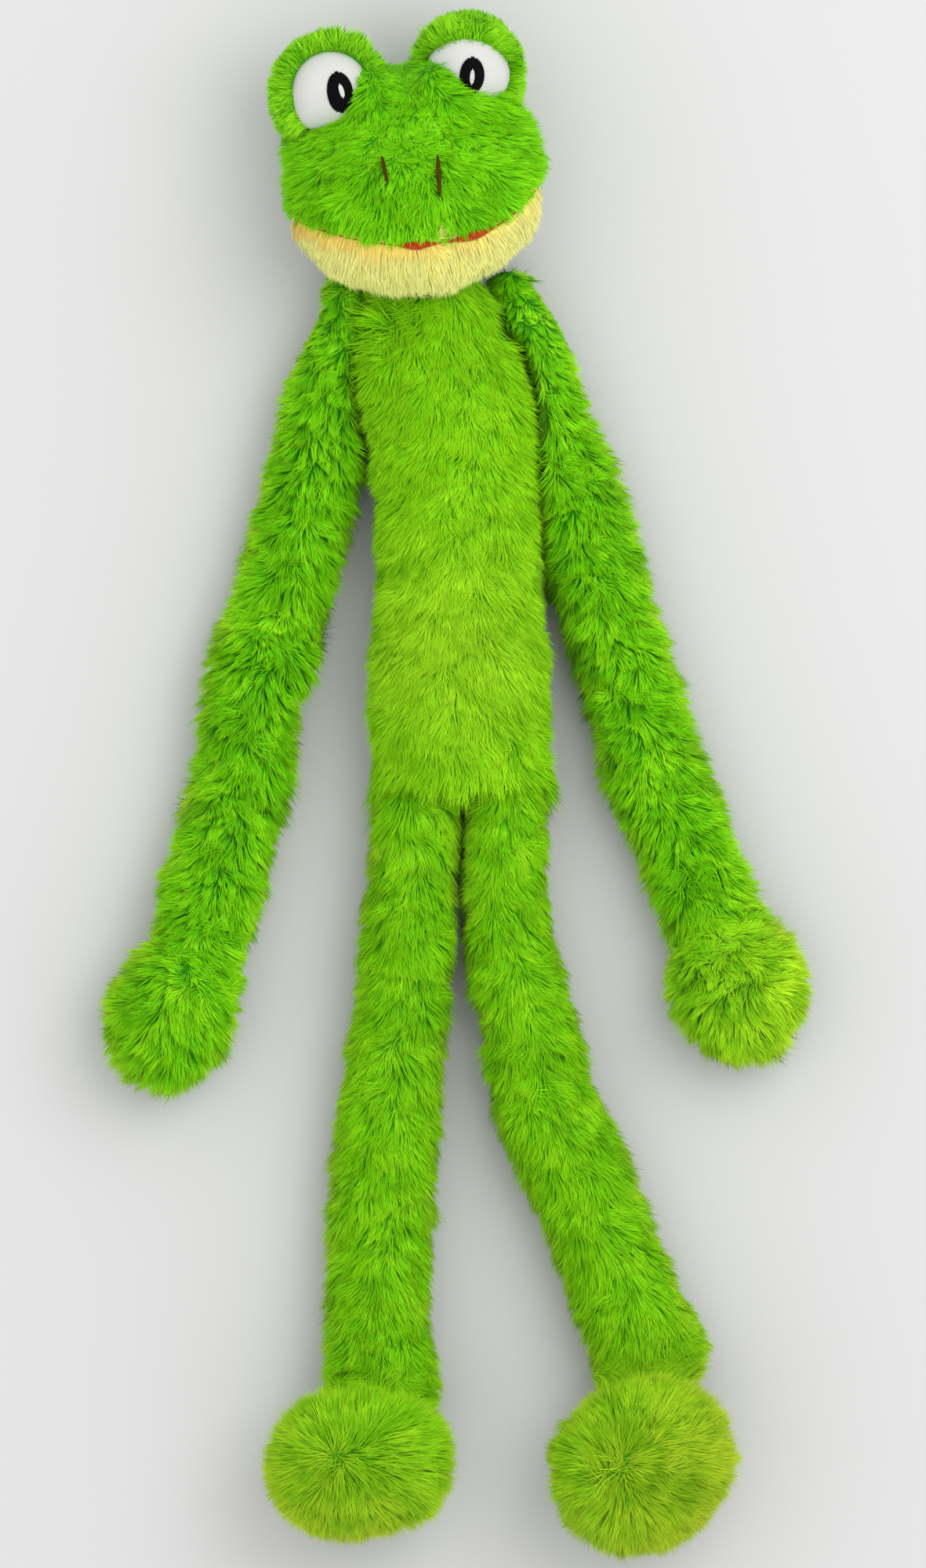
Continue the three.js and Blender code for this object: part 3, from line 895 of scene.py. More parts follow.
def keep_outer_shell(mesh: Mesh) -> None:
    """Deletes every closed shell of a mesh but the one with the most vertices.

    Args:
        mesh: The mesh.
    """
    built = opened(mesh)
    left = set(built.verts)
    shells = []
    while left:
        shell, edge = set(), [left.pop()]
        while edge:
            vertex = edge.pop()
            shell.add(vertex)
            for link in vertex.link_edges:
                other = link.other_vert(vertex)
                if other in left:
                    left.discard(other)
                    edge.append(other)
        shells.append(shell)
    largest = max(shells, key=len)
    spare = [vertex for vertex in built.verts if vertex not in largest]
    bmesh.ops.delete(built, geom=spare, context="VERTS")
    built.to_mesh(mesh)
    built.free()


def halved(mesh: Mesh, place: Vector, outward: Vector) -> Mesh:
    """A copy of a mesh without what lies past a plane, closed by a bare cap.

    Args:
        mesh: A closed mesh with a grows attribute.
        place: A point of the plane.
        outward: The side of the plane that goes.

    Returns:
        The closed copy, whose grows attribute is false on its cap.
    """
    built = opened(mesh)
    geometry = [*built.verts, *built.edges, *built.faces]
    bmesh.ops.bisect_plane(built, geom=geometry, plane_co=place, plane_no=outward, clear_outer=True)
    return capped(mesh.name, built)


def capped(name: str, built: bmesh.types.BMesh) -> Mesh:
    """Closes the holes of a mesh by bare caps.

    Args:
        name: The finished mesh's name.
        built: Its geometry, with a grows attribute.

    Returns:
        The mesh, its faces outwards.
    """
    grows = built.faces.layers.bool["grows"]
    rim = [edge for edge in built.edges if edge.is_boundary]
    for face in bmesh.ops.holes_fill(built, edges=rim, sides=0)["faces"]:
        face[grows] = False
    turn_outwards(built)
    return made_mesh(name, built)


def turn_outwards(built: bmesh.types.BMesh) -> None:
    """Makes the faces of a closed mesh agree and point outwards.

    Args:
        built: The mesh.
    """
    bmesh.ops.recalc_face_normals(built, faces=built.faces)
    if built.calc_volume(signed=True) < 0:
        bmesh.ops.reverse_faces(built, faces=built.faces)


def bared(mesh: Mesh, is_bare: Callable[[bpy.types.MeshPolygon], bool]) -> Mesh:
    """Says where a pile grows: on all faces but those that a test picks.

    Args:
        mesh: The mesh.
        is_bare: The test.

    Returns:
        The mesh with its grows attribute.
    """
    attribute = mesh.attributes.new("grows", "BOOLEAN", "FACE")
    attribute.data.foreach_set("value", [not is_bare(face) for face in mesh.polygons])
    return mesh


def looks_at(face: bpy.types.MeshPolygon, centre: Vector, reach: float) -> bool:
    """Whether a face looks at a centre from near by."""
    way = centre - face.center
    return way.length < reach and face.normal.dot(way.normalized()) > LINING_COSINE


def unit(rows: np.ndarray) -> np.ndarray:
    """Vectors brought to unit length."""
    return rows / np.maximum(np.linalg.norm(rows, axis=-1, keepdims=True), SHORTEST)


def eased(share: np.ndarray) -> np.ndarray:
    """A smooth step from 0 to 1."""
    held = np.clip(share, 0, 1)
    return held * held * (3 - 2 * held)


def drooping(rows: np.ndarray, droop: float = 0.55) -> np.ndarray:
    """Ways along which a pile lies, turned a little to the ground where it can hang."""
    return rows - np.array([0, 0, droop]) * np.linalg.norm(rows, axis=1, keepdims=True)


def lifted(mesh: Mesh, comb: np.ndarray, fall: float = 0.8) -> np.ndarray:
    """How far the pile stands up on each vertex: less where it is combed up a slope."""
    against = -np.sum(normals(mesh) * unit(comb), axis=1)
    return 1 - fall * np.clip(against, 0, 1)


def near(points: np.ndarray, place: Iterable[float], reach: float) -> np.ndarray:
    """How near points are to a place: 1 there, falling off within a reach."""
    away = np.linalg.norm(points - np.array(place), axis=1) / reach
    return np.exp(-away * away)


def pivot(joint: str) -> Vector:
    """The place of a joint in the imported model."""
    return Vector(next(one for one in frame["joints"] if one["name"] == joint)["pos_m"])


def middle(node: str) -> Vector:
    """The middle of a CAD node's box."""
    low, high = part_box(node)
    return (low + high) / 2


def mesh_tree(mesh: Mesh) -> BVHTree:
    """Readies a mesh to be searched.

    Args:
        mesh: The mesh.

    Returns:
        The search tree of its faces.
    """
    built = opened(mesh)
    tree = BVHTree.FromBMesh(built)
    built.free()
    return tree


def log_piece(piece: Thing) -> None:
    """Reports a finished piece."""
    LOG.info("%s: %d faces", piece.name, len(piece.data.polygons))


def ride_along(piece: Thing, body: str, slot: str, *nodes: str) -> None:
    """Attaches a piece to the body that it moves with and hides the CAD nodes that it stands for.

    Args:
        piece: The piece.
        body: The body's name.
        slot: The material slot; not used.
        *nodes: The CAD nodes.
    """
    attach(piece, body)
    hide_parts(*nodes)
    log_piece(piece)


# Torso.


@dataclass
class Torso:
    """The tube of the body: a front and a back panel, sewn along the sides."""

    pile: PileTree
    cut: PileCut = PileCut(length=9 * MM, lie=0.8, stand=0.46, tuft=3 * MM, gather=0.7, curl=0.7)
    fan: float = 0.5  # how far the pile at the sides leans out
    inset: float = 4.5 * MM
    hem_inset: float = 1.5 * MM  # where the body meets the legs
    hem: float = 16 * MM
    hem_pile: float = 1.1  # longer there, to hang over the seam
    end_cosine: float = 0.8  # of the faces at the lower end, which are bare
    bright: float = 0.5  # how far the pile is flushed in a lighter patch, a painted highlight
    bright_rise: float = 48 * MM  # of that painted highlight above the body's lower end
    bright_reach: float = 42 * MM
    ruff_px: tuple[tuple[float, float], ...] = ((462, 392), (515, 402), (448, 440))  # under the chin
    ruff_reach: float = 11 * MM
    ruff_lift: float = 0.7
    # how much darker the pile is there: painted shade under the chin
    ruff_dark: float = 0.6
    ruff_pile: float = 0.2
    ruff_turn: float = 1.7  # radians, the most that the comb turns there
    ruff_wave: tuple[float, float, float] = (620.0, 500.0, 0.0)  # radians to a metre
    fill: float = 0.7
    seed: int = 11

    def bright_spot(self) -> np.ndarray:
        """The middle of the painted highlight low on the belly."""
        low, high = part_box("torso_front_panel")
        return np.array([(low.x + high.x) / 2, low.y + self.bright_rise, high.z])

    def ruffled(self, points: np.ndarray) -> np.ndarray:
        """Finds the ruffled pile under the chin.

        Args:
            points: Points of the backing.

        Returns:
            How near each is to one of its spots, from 0 to 1.
        """
        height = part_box("torso_front_panel")[1].z
        spots = [seen(*spot, height) for spot in self.ruff_px]
        return np.minimum(sum(near(points[:, :2], spot, self.ruff_reach) for spot in spots), 1)

    def swirled(self, comb: np.ndarray, points: np.ndarray, share: np.ndarray) -> np.ndarray:
        """Turns the comb this way and that where the pile is ruffled.

        Args:
            comb: The comb.
            points: Where it is.
            share: How ruffled the pile is there.

        Returns:
            The turned comb.
        """
        turn = self.ruff_turn * share * np.sin(points @ np.array(self.ruff_wave))
        across, up, out = comb.T
        cosine, sine = np.cos(turn), np.sin(turn)
        return np.stack([across * cosine - up * sine, across * sine + up * cosine, out], axis=1)

    def hemmed(self, points: np.ndarray) -> np.ndarray:
        """How near points are to the body's lower end: 1 there and 0 past the hem."""
        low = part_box("torso_back_panel")[0].y
        return 1 - eased((points[:, 1] - low) / self.hem)

    def sunk(self, points: np.ndarray) -> np.ndarray:
        """How deep the backing lies under the outline: less at the lower end."""
        return self.inset - self.hemmed(points) * (self.inset - self.hem_inset)

    def comb(self, points: np.ndarray) -> np.ndarray:
        """Combs the pile down the belly and a little out to the sides.

        Args:
            points: Points of the backing.

        Returns:
            Which way the pile lies on each.
        """
        low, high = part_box("torso_back_panel")
        across = (points[:, 0] - (low.x + high.x) / 2) / ((high.x - low.x) / 2)
        down = -np.ones(len(points))
        return drooping(unit(np.stack([across * self.fan, down, np.zeros(len(points))], axis=1)))

    def build(self) -> None:
        """Makes both panels."""
        solids = ["torso_front_panel", "torso_back_panel", "torso_stuffing"]
        form = Backing(solids, sunk=self.sunk, bulges=TORSO_BULGES).form()
        bared(form.data, lambda face: face.normal.y < -self.end_cosine)
        seam = Vector((0, 0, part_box("torso_back_panel")[1].z))
        for name, outward, nodes in (
            ("torso_front", -SKYWARD, solids[:1]),
            ("torso_back", SKYWARD, solids[1:]),
        ):
            panel = halved(form.data, seam, outward)
            points = places(panel)
            ruffled = self.ruffled(points)
            comb = self.swirled(self.comb(points), points, ruffled)
            # the painted highlight low on the belly
            bright = near(points, self.bright_spot(), self.bright_reach)
            paint(
                panel,
                comb=comb,
                pile=1 + self.hem_pile * self.hemmed(points) + self.ruff_pile * ruffled,
                lift=lifted(panel, comb) * (1 + self.ruff_lift * ruffled),
                # a painted highlight low on the belly and painted shade under the chin
                flush=self.bright * bright - self.ruff_dark * ruffled,
            )
            piece = self.pile.grow(name, panel, self.cut, BODY_PILE, self.seed)
            ride_along(piece, "torso", "green_plush", *nodes)
        bpy.data.objects.remove(form)


# Limbs.


@dataclass
class Limb:
    """An arm or a leg: a tube in two pieces that meet halfway between its two bends."""

    side: Side
    pile: PileTree
    parts: tuple[str, str, str]
    joints: tuple[str, str, str]
    whorl_px: tuple[float, float]  # where the pile of the hand or foot parts
    bulges: tuple[Bulge, ...]
    cut: PileCut
    finish: PileFinish
    flush: float  # of the hand or foot: their paler dye, partly painted light where one is paler than its twin
    warm_turn: tuple[float, float, float]  # the side on which that flush grows, as painted light from that side
    sweep: float  # how much of the end's pile runs down rather than out
    root_inset: float  # where the limb meets the body
    seed: int
    inset: float = 3.3 * MM
    bend_reach: float = 24 * MM
    way_reach: float = 8 * MM  # in which the comb turns from one stretch to the next
    whorl_rise: float = 0.86  # of the end's height
    whorl_reach: float = 12 * MM
    whorl_before: float = 6 * MM  # the last bend, where the end's own comb starts
    whorl_span: float = 14 * MM
    root_reach: float = 18 * MM
    root_lift: float = 0.6
    root_crop: float = 0.0  # how much shorter its pile is there
    root_cosine: float = 0.8  # of the faces at its end, which are bare
    edge_flush: float = 0.45  # painted light where the limb turns away, lighter at its edges
    edge_steepness: float = 1.5
    flush_before: float = 30 * MM  # the last bend, where the end's flush starts
    flush_span: float = 70 * MM
    warm: float = 0.26  # painted side light: how much more the end is flushed towards its lit side than in the middle
    warm_reach: float = 26 * MM
    fill: float = 0.7
    stops: list[Vector] = field(init=False)

    def __post_init__(self) -> None:
        """Finds the limb's joints."""
        self.stops = [pivot(f"{joint}_{self.side.label}") for joint in self.joints]

    def nodes(self, part: str) -> list[str]:
        """The CAD nodes of a part of the limb."""
        return [f"{part}_{kind}_{self.side.label}" for kind in ("cover", "stuffing")]

    def whorl(self) -> np.ndarray:
        """Finds where the pile of the hand or foot parts.

        Returns:
            The place.
        """
        low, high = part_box(self.nodes(self.parts[2])[0])
        height = low.z + (high.z - low.z) * self.whorl_rise
        return np.array([*seen(*self.whorl_px, height), height])

    def comb(self, points: np.ndarray) -> np.ndarray:
        """Combs the pile down the limb, and outwards from the middle of its end.

        Args:
            points: Points of the backing.

        Returns:
            Which way the pile lies on each.
        """
        stops = [np.array(stop) for stop in self.stops]
        down = np.zeros_like(points)
        for start, stop in zip(stops, [*stops[1:], self.whorl()], strict=True):
            way = (stop - start) * np.array([1, 1, 0])
            share = np.clip(((points - start) @ way) / (way @ way), 0, 1)
            away = np.linalg.norm(points - start - share[:, None] * way, axis=1)
            down += unit(way) * np.exp(-away / self.way_reach)[:, None]
        out = points - self.whorl()
        calm = self.past(points, self.whorl_before, self.whorl_span)
        calm *= eased(np.linalg.norm(out, axis=1) / self.whorl_reach)
        return drooping(unit(unit(down) * self.sweep + unit(out) * calm[:, None]))

    def past(self, points: np.ndarray, before: float, span: float) -> np.ndarray:
        """How far points are past the limb's last bend.

        Args:
            points: The points.
            before: How far before the bend the count starts.
            span: How far it takes to reach 1.

        Returns:
            A share from 0 to 1 for each point.
        """
        way = (self.stops[2] - self.stops[1]).normalized()
        return eased(((points - np.array(self.stops[2])) @ np.array(way) + before) / span)

    def rooted(self, points: np.ndarray) -> np.ndarray:
        """How near points are to where the limb meets the body."""
        return near(points, self.stops[0], self.root_reach)

    def sunk(self, points: np.ndarray) -> np.ndarray:
        """How deep the backing lies under the outline: less at the limb's root."""
        return self.inset - self.rooted(points) * (self.inset - self.root_inset)

    def flushed(self, panel: Mesh) -> np.ndarray:
        """Finds how flushed the pile is: a paler dye over the hand or foot, partly painted light and
        more on its lit side, and painted light where the limb turns away.

        Args:
            panel: The backing.

        Returns:
            How flushed the pile is on each vertex.
        """
        points = places(panel)
        # painted light: lighter where the backing is steep, at the limb's edges
        edge = self.edge_flush * eased(1 - self.edge_steepness * np.abs(normals(panel)[:, 2]))
        # painted light on the lit side of the hand or foot
        aside = (points - self.whorl()) @ np.array(self.warm_turn)
        warm = self.flush + self.warm * np.clip(aside / self.warm_reach, -1, 1)
        return np.maximum(self.past(points, self.flush_before, self.flush_span) * warm, 0) + edge

    def build(self) -> None:
        """Makes both pieces of the limb."""
        solids = [node for part in self.parts for node in self.nodes(part)]
        form = Backing(solids, sunk=self.sunk, bulges=self.bulges).form()
        first_way = (self.stops[1] - self.stops[0]).normalized()
        bared(form.data, lambda face: self._is_root(face, first_way))
        share = (self.stops[1] + self.stops[2]) / 2
        way = (self.stops[2] - self.stops[1]).normalized()
        self._finish(halved(form.data, share, way), 1, self.parts[:1])
        self._finish(halved(form.data, share, -way), 2, self.parts[1:])
        bpy.data.objects.remove(form)

    def _is_root(self, face: bpy.types.MeshPolygon, way: Vector) -> bool:
        """Whether a face is part of the limb's end in the body."""
        near_root = (face.center - self.stops[0]).length < 2 * self.root_reach
        return near_root and face.normal.dot(way) < -self.root_cosine

    def _finish(self, panel: Mesh, bend: int, replaced: tuple[str, ...]) -> None:
        """Grows the pile of one piece.

        Args:
            panel: The piece's backing.
            bend: The place of the joint along the limb.
            replaced: The parts whose CAD nodes the piece stands for.
        """
        near_body, far_body = (f"{part}_{self.side.label}" for part in self.parts[bend - 1 : bend + 1])
        points = places(panel)
        comb = self.comb(points)
        rooted = self.rooted(points)
        paint(
            panel,
            comb=comb,
            pile=1 - self.root_crop * rooted,
            lift=lifted(panel, comb) * (1 - (1 - self.root_lift) * rooted),
            flush=self.flushed(panel),
        )
        name = f"{self.parts[bend - 1]}_to_{far_body}"
        piece = self.pile.grow(name, panel, self.cut, self.finish, self.seed + bend)
        reach = (self.stops[bend] - self.stops[bend - 1]).normalized() * self.bend_reach
        start, end = self.stops[bend] - reach, self.stops[bend] + reach
        tuple(start)
        tuple(end)
        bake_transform(piece)
        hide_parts(*[node for part in replaced for node in self.nodes(part)])
        log_piece(piece)


# Head.


class HeadFrame:
    """The head's own axes: across through the eyes, up from the neck, and out of the face."""

    def __init__(self) -> None:
        """Reads the head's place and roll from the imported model."""
        self.origin = pivot("neck_nod")
        between = middle("eyeball_left") - middle("eyeball_right")
        turn = Matrix.Rotation(math.atan2(between.y, between.x), 3, "Z")
        self.across = turn @ Vector((1, 0, 0))
        self.up = turn @ Vector((0, 1, 0))

    def local(self, points: np.ndarray) -> np.ndarray:
        """Brings points from the model's frame into the head's.

        Args:
            points: The points.

        Returns:
            The points, whose heights stay heights above the ground.
        """
        apart = points - np.array([self.origin.x, self.origin.y, 0])
        across, up = (apart @ np.array(way) for way in (self.across, self.up))
        return np.stack([across, up, points[:, 2]], axis=1)

    def world(self, across: float, up: float, height: float) -> Vector:
        """A place in the head's frame as a place in the model's."""
        flat = self.origin + self.across * across + self.up * up
        return Vector((flat.x, flat.y, height))

    def turned(self, rows: np.ndarray) -> np.ndarray:
        """Directions of the head's frame as directions of the model's."""
        return rows @ np.array([self.across, self.up, SKYWARD])


@dataclass
class MouthLine:
    """The line of the mouth across the head, read from its lining."""

    axes: HeadFrame
    reach: float = 43 * MM
    aside: float = 7.6 * MM  # how far its lowest place lies towards the toy's left
    curl: float = 12.0  # how sharply its left end turns up, 1/m
    curl_from: float = 22 * MM
    low: float = field(init=False)
    bend: float = field(init=False)

    def __post_init__(self) -> None:
        """Fits the parabola that the lining follows."""
        points = self.axes.local(places(frame["nodes"]["mouth_lining"].data))
        self.bend, self.low = map(float, np.polyfit(points[:, 0] ** 2, points[:, 1], 1))

    def height(self, across: np.ndarray) -> np.ndarray:
        """How far up the head the mouth lies at places across it."""
        smile = self.curl * np.maximum(across - self.curl_from, 0) ** 2
        return self.low + self.bend * (across**2 - 2 * self.aside * across) + smile


@dataclass(frozen=True)
class Cover:
    """One of the head's covers: its name, material slot and CAD nodes, and the pile on it."""

    name: str
    slot: str
    nodes: tuple[str, ...]
    finish: PileFinish
    cut: PileCut


FACE_COVER = Cover(
    "head",
    "green_plush",
    ("head_cover", "head_stuffing"),
    FACE_PILE,
    PileCut(length=8 * MM, lie=0.7, stand=0.54, tuft=2.8 * MM, curl=0.9, gather=0.8),
)
JAW_COVER = Cover(
    "jaw",
    "yellow_plush",
    ("jaw_cover",),
    JAW_PILE,
    PileCut(length=9.5 * MM, stand=0.3, stray=0.14, curl=0.2, gather=0.3),
)


@dataclass
class Head:
    """The head: green pile above the mouth, pale yellow pile on the jaw, and the felt between."""

    pile: PileTree
    axes: HeadFrame
    mouth: MouthLine
    voxel: float = 2.6 * MM
    inset: float = 4 * MM
    lip_rise: float = 1.4 * MM  # the green pile ends this far above the mouth's line
    lip_reach: float = 9 * MM  # above the lip, where the green pile is cut shorter
    lip_cut: float = 0.45
    under_cut: float = 0.6  # how much shorter the jaw's pile is underneath
    under_steepness: float = 3.0
    shortest: float = 0.1  # of the pile anywhere, as a share of its cut
    nostril_cut: float = 0.75  # how much shorter the pile is round the nostrils
    nostril_reach: float = 5 * MM
    nostril_fill: float = 0.8  # how much less the backing is set in under them
    nostril_fill_reach: float = 7 * MM
    blush: float = 0.16  # of the jaw along the mouth, where it turns orange
    right_blush: float = 0.44  # more of it on the toy's right
    blush_reach: float = 2.6 * MM
    felt: float = 0.24 * MM  # the radius of the lips' roll
    felt_rise: float = 1.4 * MM
    felt_turn: float = 80.0  # degrees, to each side
    felt_count: int = 48
    felt_sides: int = 8
    parted: float = 1.6 * MM  # how much thicker the roll is where the lips part
    partings: tuple[tuple[float, float], ...] = ((-14 * MM, 5 * MM), (6.6 * MM, 6 * MM))
    whorl_up: float = 92 * MM
    whorl_height: float = 58 * MM
    whorl_reach: float = 12 * MM
    brow_px: tuple[float, float] = (567, 105)  # fur that stands up against the left eye
    brow_height: float = 70 * MM
    brow_depth: float = 6 * MM  # of the middle of that fur's rise
    brow_reach: float = 10 * MM
    brow_rise: float = 7.5 * MM
    chin_fan: float = 0.6  # how far the jaw's pile at the sides leans out
    tuft_px: tuple[float, float] = (561, 309)  # a tuft of the jaw that crosses the mouth
    tuft_reach: float = 2.4 * MM
    tuft_turn: float = 3.0
    fill: float = 0.8
    seed: int = 31

    def at_nostrils(self, points: np.ndarray, reach: float) -> np.ndarray:
        """How near points are to the nostrils."""
        return sum(near(points, middle(f"nostril_{side.label}"), reach) for side in Side)

    def sunk(self, points: np.ndarray) -> np.ndarray:
        """Finds how deep the backing lies under the outline.

        Args:
            points: Points of the outline.

        Returns:
            The depth at each, less under the nostrils and where the brow rises.
        """
        depth = self.inset * (1 - self.nostril_fill * self.at_nostrils(points, self.nostril_fill_reach))
        brow = (*seen(*self.brow_px, self.brow_height), self.brow_height - self.brow_depth)
        return depth - near(points, brow, self.brow_reach) * self.brow_rise

    def comb(self, points: np.ndarray) -> np.ndarray:
        """Combs the pile away from the bridge of the snout.

        Args:
            points: Points of the backing.

        Returns:
            Which way the pile lies on each.
        """
        out = points - np.array(self.axes.world(0, self.whorl_up, self.whorl_height))
        calm = eased(np.linalg.norm(out, axis=1) / self.whorl_reach)
        return drooping(unit(out) * calm[:, None])

    def chin_comb(self, points: np.ndarray) -> np.ndarray:
        """Combs the jaw's pile down from the mouth and out to the sides.

        Args:
            points: Points of the backing.

        Returns:
            Which way the pile lies on each.
        """
        across = self.axes.local(points)[:, 0] / self.mouth.reach
        tuft = near(points[:, :2], seen(*self.tuft_px, self.brow_height), self.tuft_reach)
        up = self.tuft_turn * tuft - 1
        out = np.stack([across * self.chin_fan, up, np.zeros(len(points))], axis=1)
        return drooping(unit(self.axes.turned(out)))

    def build(self) -> None:
        """Makes the head, the jaw and the felt lips."""
        solids = ["head_cover", "jaw_cover", "mouth_lining", "head_stuffing"]
        form = Backing(solids, sunk=self.sunk, voxel=self.voxel, bulges=HEAD_BULGES).form()
        self._head(self._part(form.data, is_jaw=False))
        self._jaw(self._part(form.data, is_jaw=True))
        self._lips(mesh_tree(form.data))
        bpy.data.objects.remove(form)

    def _head(self, panel: Mesh) -> None:
        """Grows the green pile.

        Args:
            panel: Its backing.
        """
        points = places(panel)
        local = self.axes.local(points)
        above = (local[:, 1] - self.mouth.height(local[:, 0])) / self.lip_reach
        full = 1 - self.lip_cut * (1 - eased(above))
        self._grow(FACE_COVER, panel, self.comb(points), full, np.zeros(len(points)))

    def _jaw(self, panel: Mesh) -> None:
        """Grows the pale pile of the jaw.

        Args:
            panel: Its backing.
        """
        points = places(panel)
        local = self.axes.local(points)
        below = (self.mouth.height(local[:, 0]) - local[:, 1]) / self.blush_reach
        right = eased(0.5 - local[:, 0] / (2 * self.mouth.reach))
        blush = (1 - eased(below)) * (self.blush + self.right_blush * right)
        full = 1 - self.under_cut * eased(-self.under_steepness * normals(panel)[:, 2])
        self._grow(JAW_COVER, panel, self.chin_comb(points), full, blush)

    def _grow(
        self, cover: Cover, panel: Mesh, comb: np.ndarray, full: np.ndarray, flush: np.ndarray
    ) -> None:
        """Grows the pile of a cover.

        Args:
            cover: The cover.
            panel: Its backing.
            comb: Which way the pile lies.
            full: How long it is, but for the nostrils.
            flush: How flushed it is.
        """
        short = self.nostril_cut * self.at_nostrils(places(panel), self.nostril_reach)
        pile = np.maximum(full - short, self.shortest)
        paint(panel, comb=comb, pile=pile, lift=lifted(panel, comb), flush=flush)
        piece = self.pile.grow(cover.name, panel, cover.cut, cover.finish, self.seed)
        ride_along(piece, "head", cover.slot, *cover.nodes)

    def _part(self, mesh: Mesh, is_jaw: bool) -> Mesh:
        """Parts the backing along the mouth.

        Args:
            mesh: The backing.
            is_jaw: Whether the jaw is wanted.

        Returns:
            The faces of the jaw or of the rest of the head, with their own edge closed.
        """
        built = opened(mesh)
        local = self.axes.local(np.array([face.calc_center_median() for face in built.faces]))
        lip = self.mouth.height(local[:, 0]) + self.lip_rise
        below = (local[:, 1] < lip) & (local[:, 2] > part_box("jaw_cover")[0].z)
        spare = [face for face, low in zip(built.faces, below, strict=True) if low != is_jaw]
        bmesh.ops.delete(built, geom=spare, context="FACES")
        grows = built.faces.layers.bool.new("grows")
        for face in built.faces:
            face[grows] = True
        return capped("part", built)

    def lip_width(self, across: float) -> float:
        """The felt's radius at a place across the mouth: thin, and fuller where the lips part."""
        parts = [math.exp(-(((across - place) / reach) ** 2)) for place, reach in self.partings]
        return self.felt + self.parted * max(parts)

    def _lips(self, skin: BVHTree) -> None:
        """Lays a soft felt roll along the mouth, half hidden by the pile above it.

        Args:
            skin: The head's backing.
        """
        spine = []
        turn = math.radians(self.felt_turn)
        for share in np.linspace(-turn, turn, self.felt_count):
            across = self.mouth.reach * math.sin(share)
            up = float(self.mouth.height(np.array([across]))[0])
            hit, outward, _, _ = skin.ray_cast(self.axes.world(across, up, CLEAR_HEIGHT), -SKYWARD)
            if hit:
                spine.append(hit + outward * self.felt_rise)
        widths = [self.lip_width(place.x) for place in spine]
        roll = placed("mouth_felt", tube(spine, widths, self.felt_sides))
        roll.data.materials.append(MOUTH_FELT.material())
        ride_along(roll, "head", "red_felt", "mouth_lining")


def tube(spine: list[Vector], widths: list[float], sides: int) -> Mesh:
    """A round tube along a line of points, closed to a point at both ends.

    Args:
        spine: The points that the tube follows.
        widths: Its radius at each point.
        sides: How many sides it has.

    Returns:
        The tube.
    """
    built = bmesh.new()
    rings = []
    for k, place in enumerate(spine[1:-1], 1):
        way = (spine[k + 1] - spine[k - 1]).normalized()
        side = way.cross(SKYWARD).normalized()
        top = side.cross(way)
        turns = np.linspace(0, math.tau, sides, endpoint=False)
        reaches = [(side * math.cos(turn) + top * math.sin(turn)) * widths[k] for turn in turns]
        rings.append([built.verts.new(place + reach) for reach in reaches])
    ends = [built.verts.new(spine[0]), built.verts.new(spine[-1])]
    for one, other in zip(rings, rings[1:]):
        for k in range(sides):
            built.faces.new([one[k], one[k - 1], other[k - 1], other[k]])
    for end, ring in zip(ends, (rings[0], rings[-1]), strict=True):
        for k in range(sides):
            built.faces.new([end, ring[k], ring[k - 1]])
    turn_outwards(built)
    for face in built.faces:
        face.smooth = True
    return made_mesh("tube", built)


# Eyes and nostrils.


@dataclass(frozen=True)
class Mark:
    """An embroidered mark: where the picture shows its middle, its size and its lean."""

    across_px: float
    down_px: float
    width: float
    length: float
    lean: float  # degrees, its top towards the toy's right

    def over(self, height: Callable[[float, float], float], tries: int = 3) -> Vector:
        """The place seen at the mark's middle on a surface.

        Args:
            height: The surface's height above the ground at a place across and up.
            tries: How often the place is worked out again from its height.

        Returns:
            The place.
        """
        place = Vector((0, 0, 0))
        for _ in range(tries):
            across, up = seen(self.across_px, self.down_px, place.z)
            place = Vector((across, up, height(across, up)))
        return place

    def upright(self) -> Vector:
        """The way that the mark's length runs, seen from above."""
        turn = math.radians(self.lean)
        return Vector((-math.sin(turn), math.cos(turn), 0))


def seen(across_px: float, down_px: float, height: float) -> tuple[float, float]:
    """Where a point of the picture lies at a height above the ground.

    Args:
        across_px: The point's distance from the picture's left edge.
        down_px: Its distance from the picture's top edge.
        height: The height above the ground.

    Returns:
        The place across and up.
    """
    eye = Studio.seat()
    nearer = (Studio.distance - height) / Studio.distance
    across = eye.x + ((across_px - ORIGIN_X_PX) * PIXEL - eye.x) * nearer
    up = eye.y + ((ORIGIN_Y_PX - down_px) * PIXEL - eye.y) * nearer
    return across, up


def facing(place: Vector, up: Vector, out: Vector) -> Matrix:
    """Turns a patch to face a way.

    Args:
        place: The patch's origin.
        up: The way that its Y axis nearly runs.
        out: The way that its Z axis runs.

    Returns:
        The frame of the patch.
    """
    across = up.cross(out).normalized()
    turn = Matrix((across, out.cross(across).normalized(), out)).transposed()
    return Matrix.Translation(place) @ turn.to_4x4()


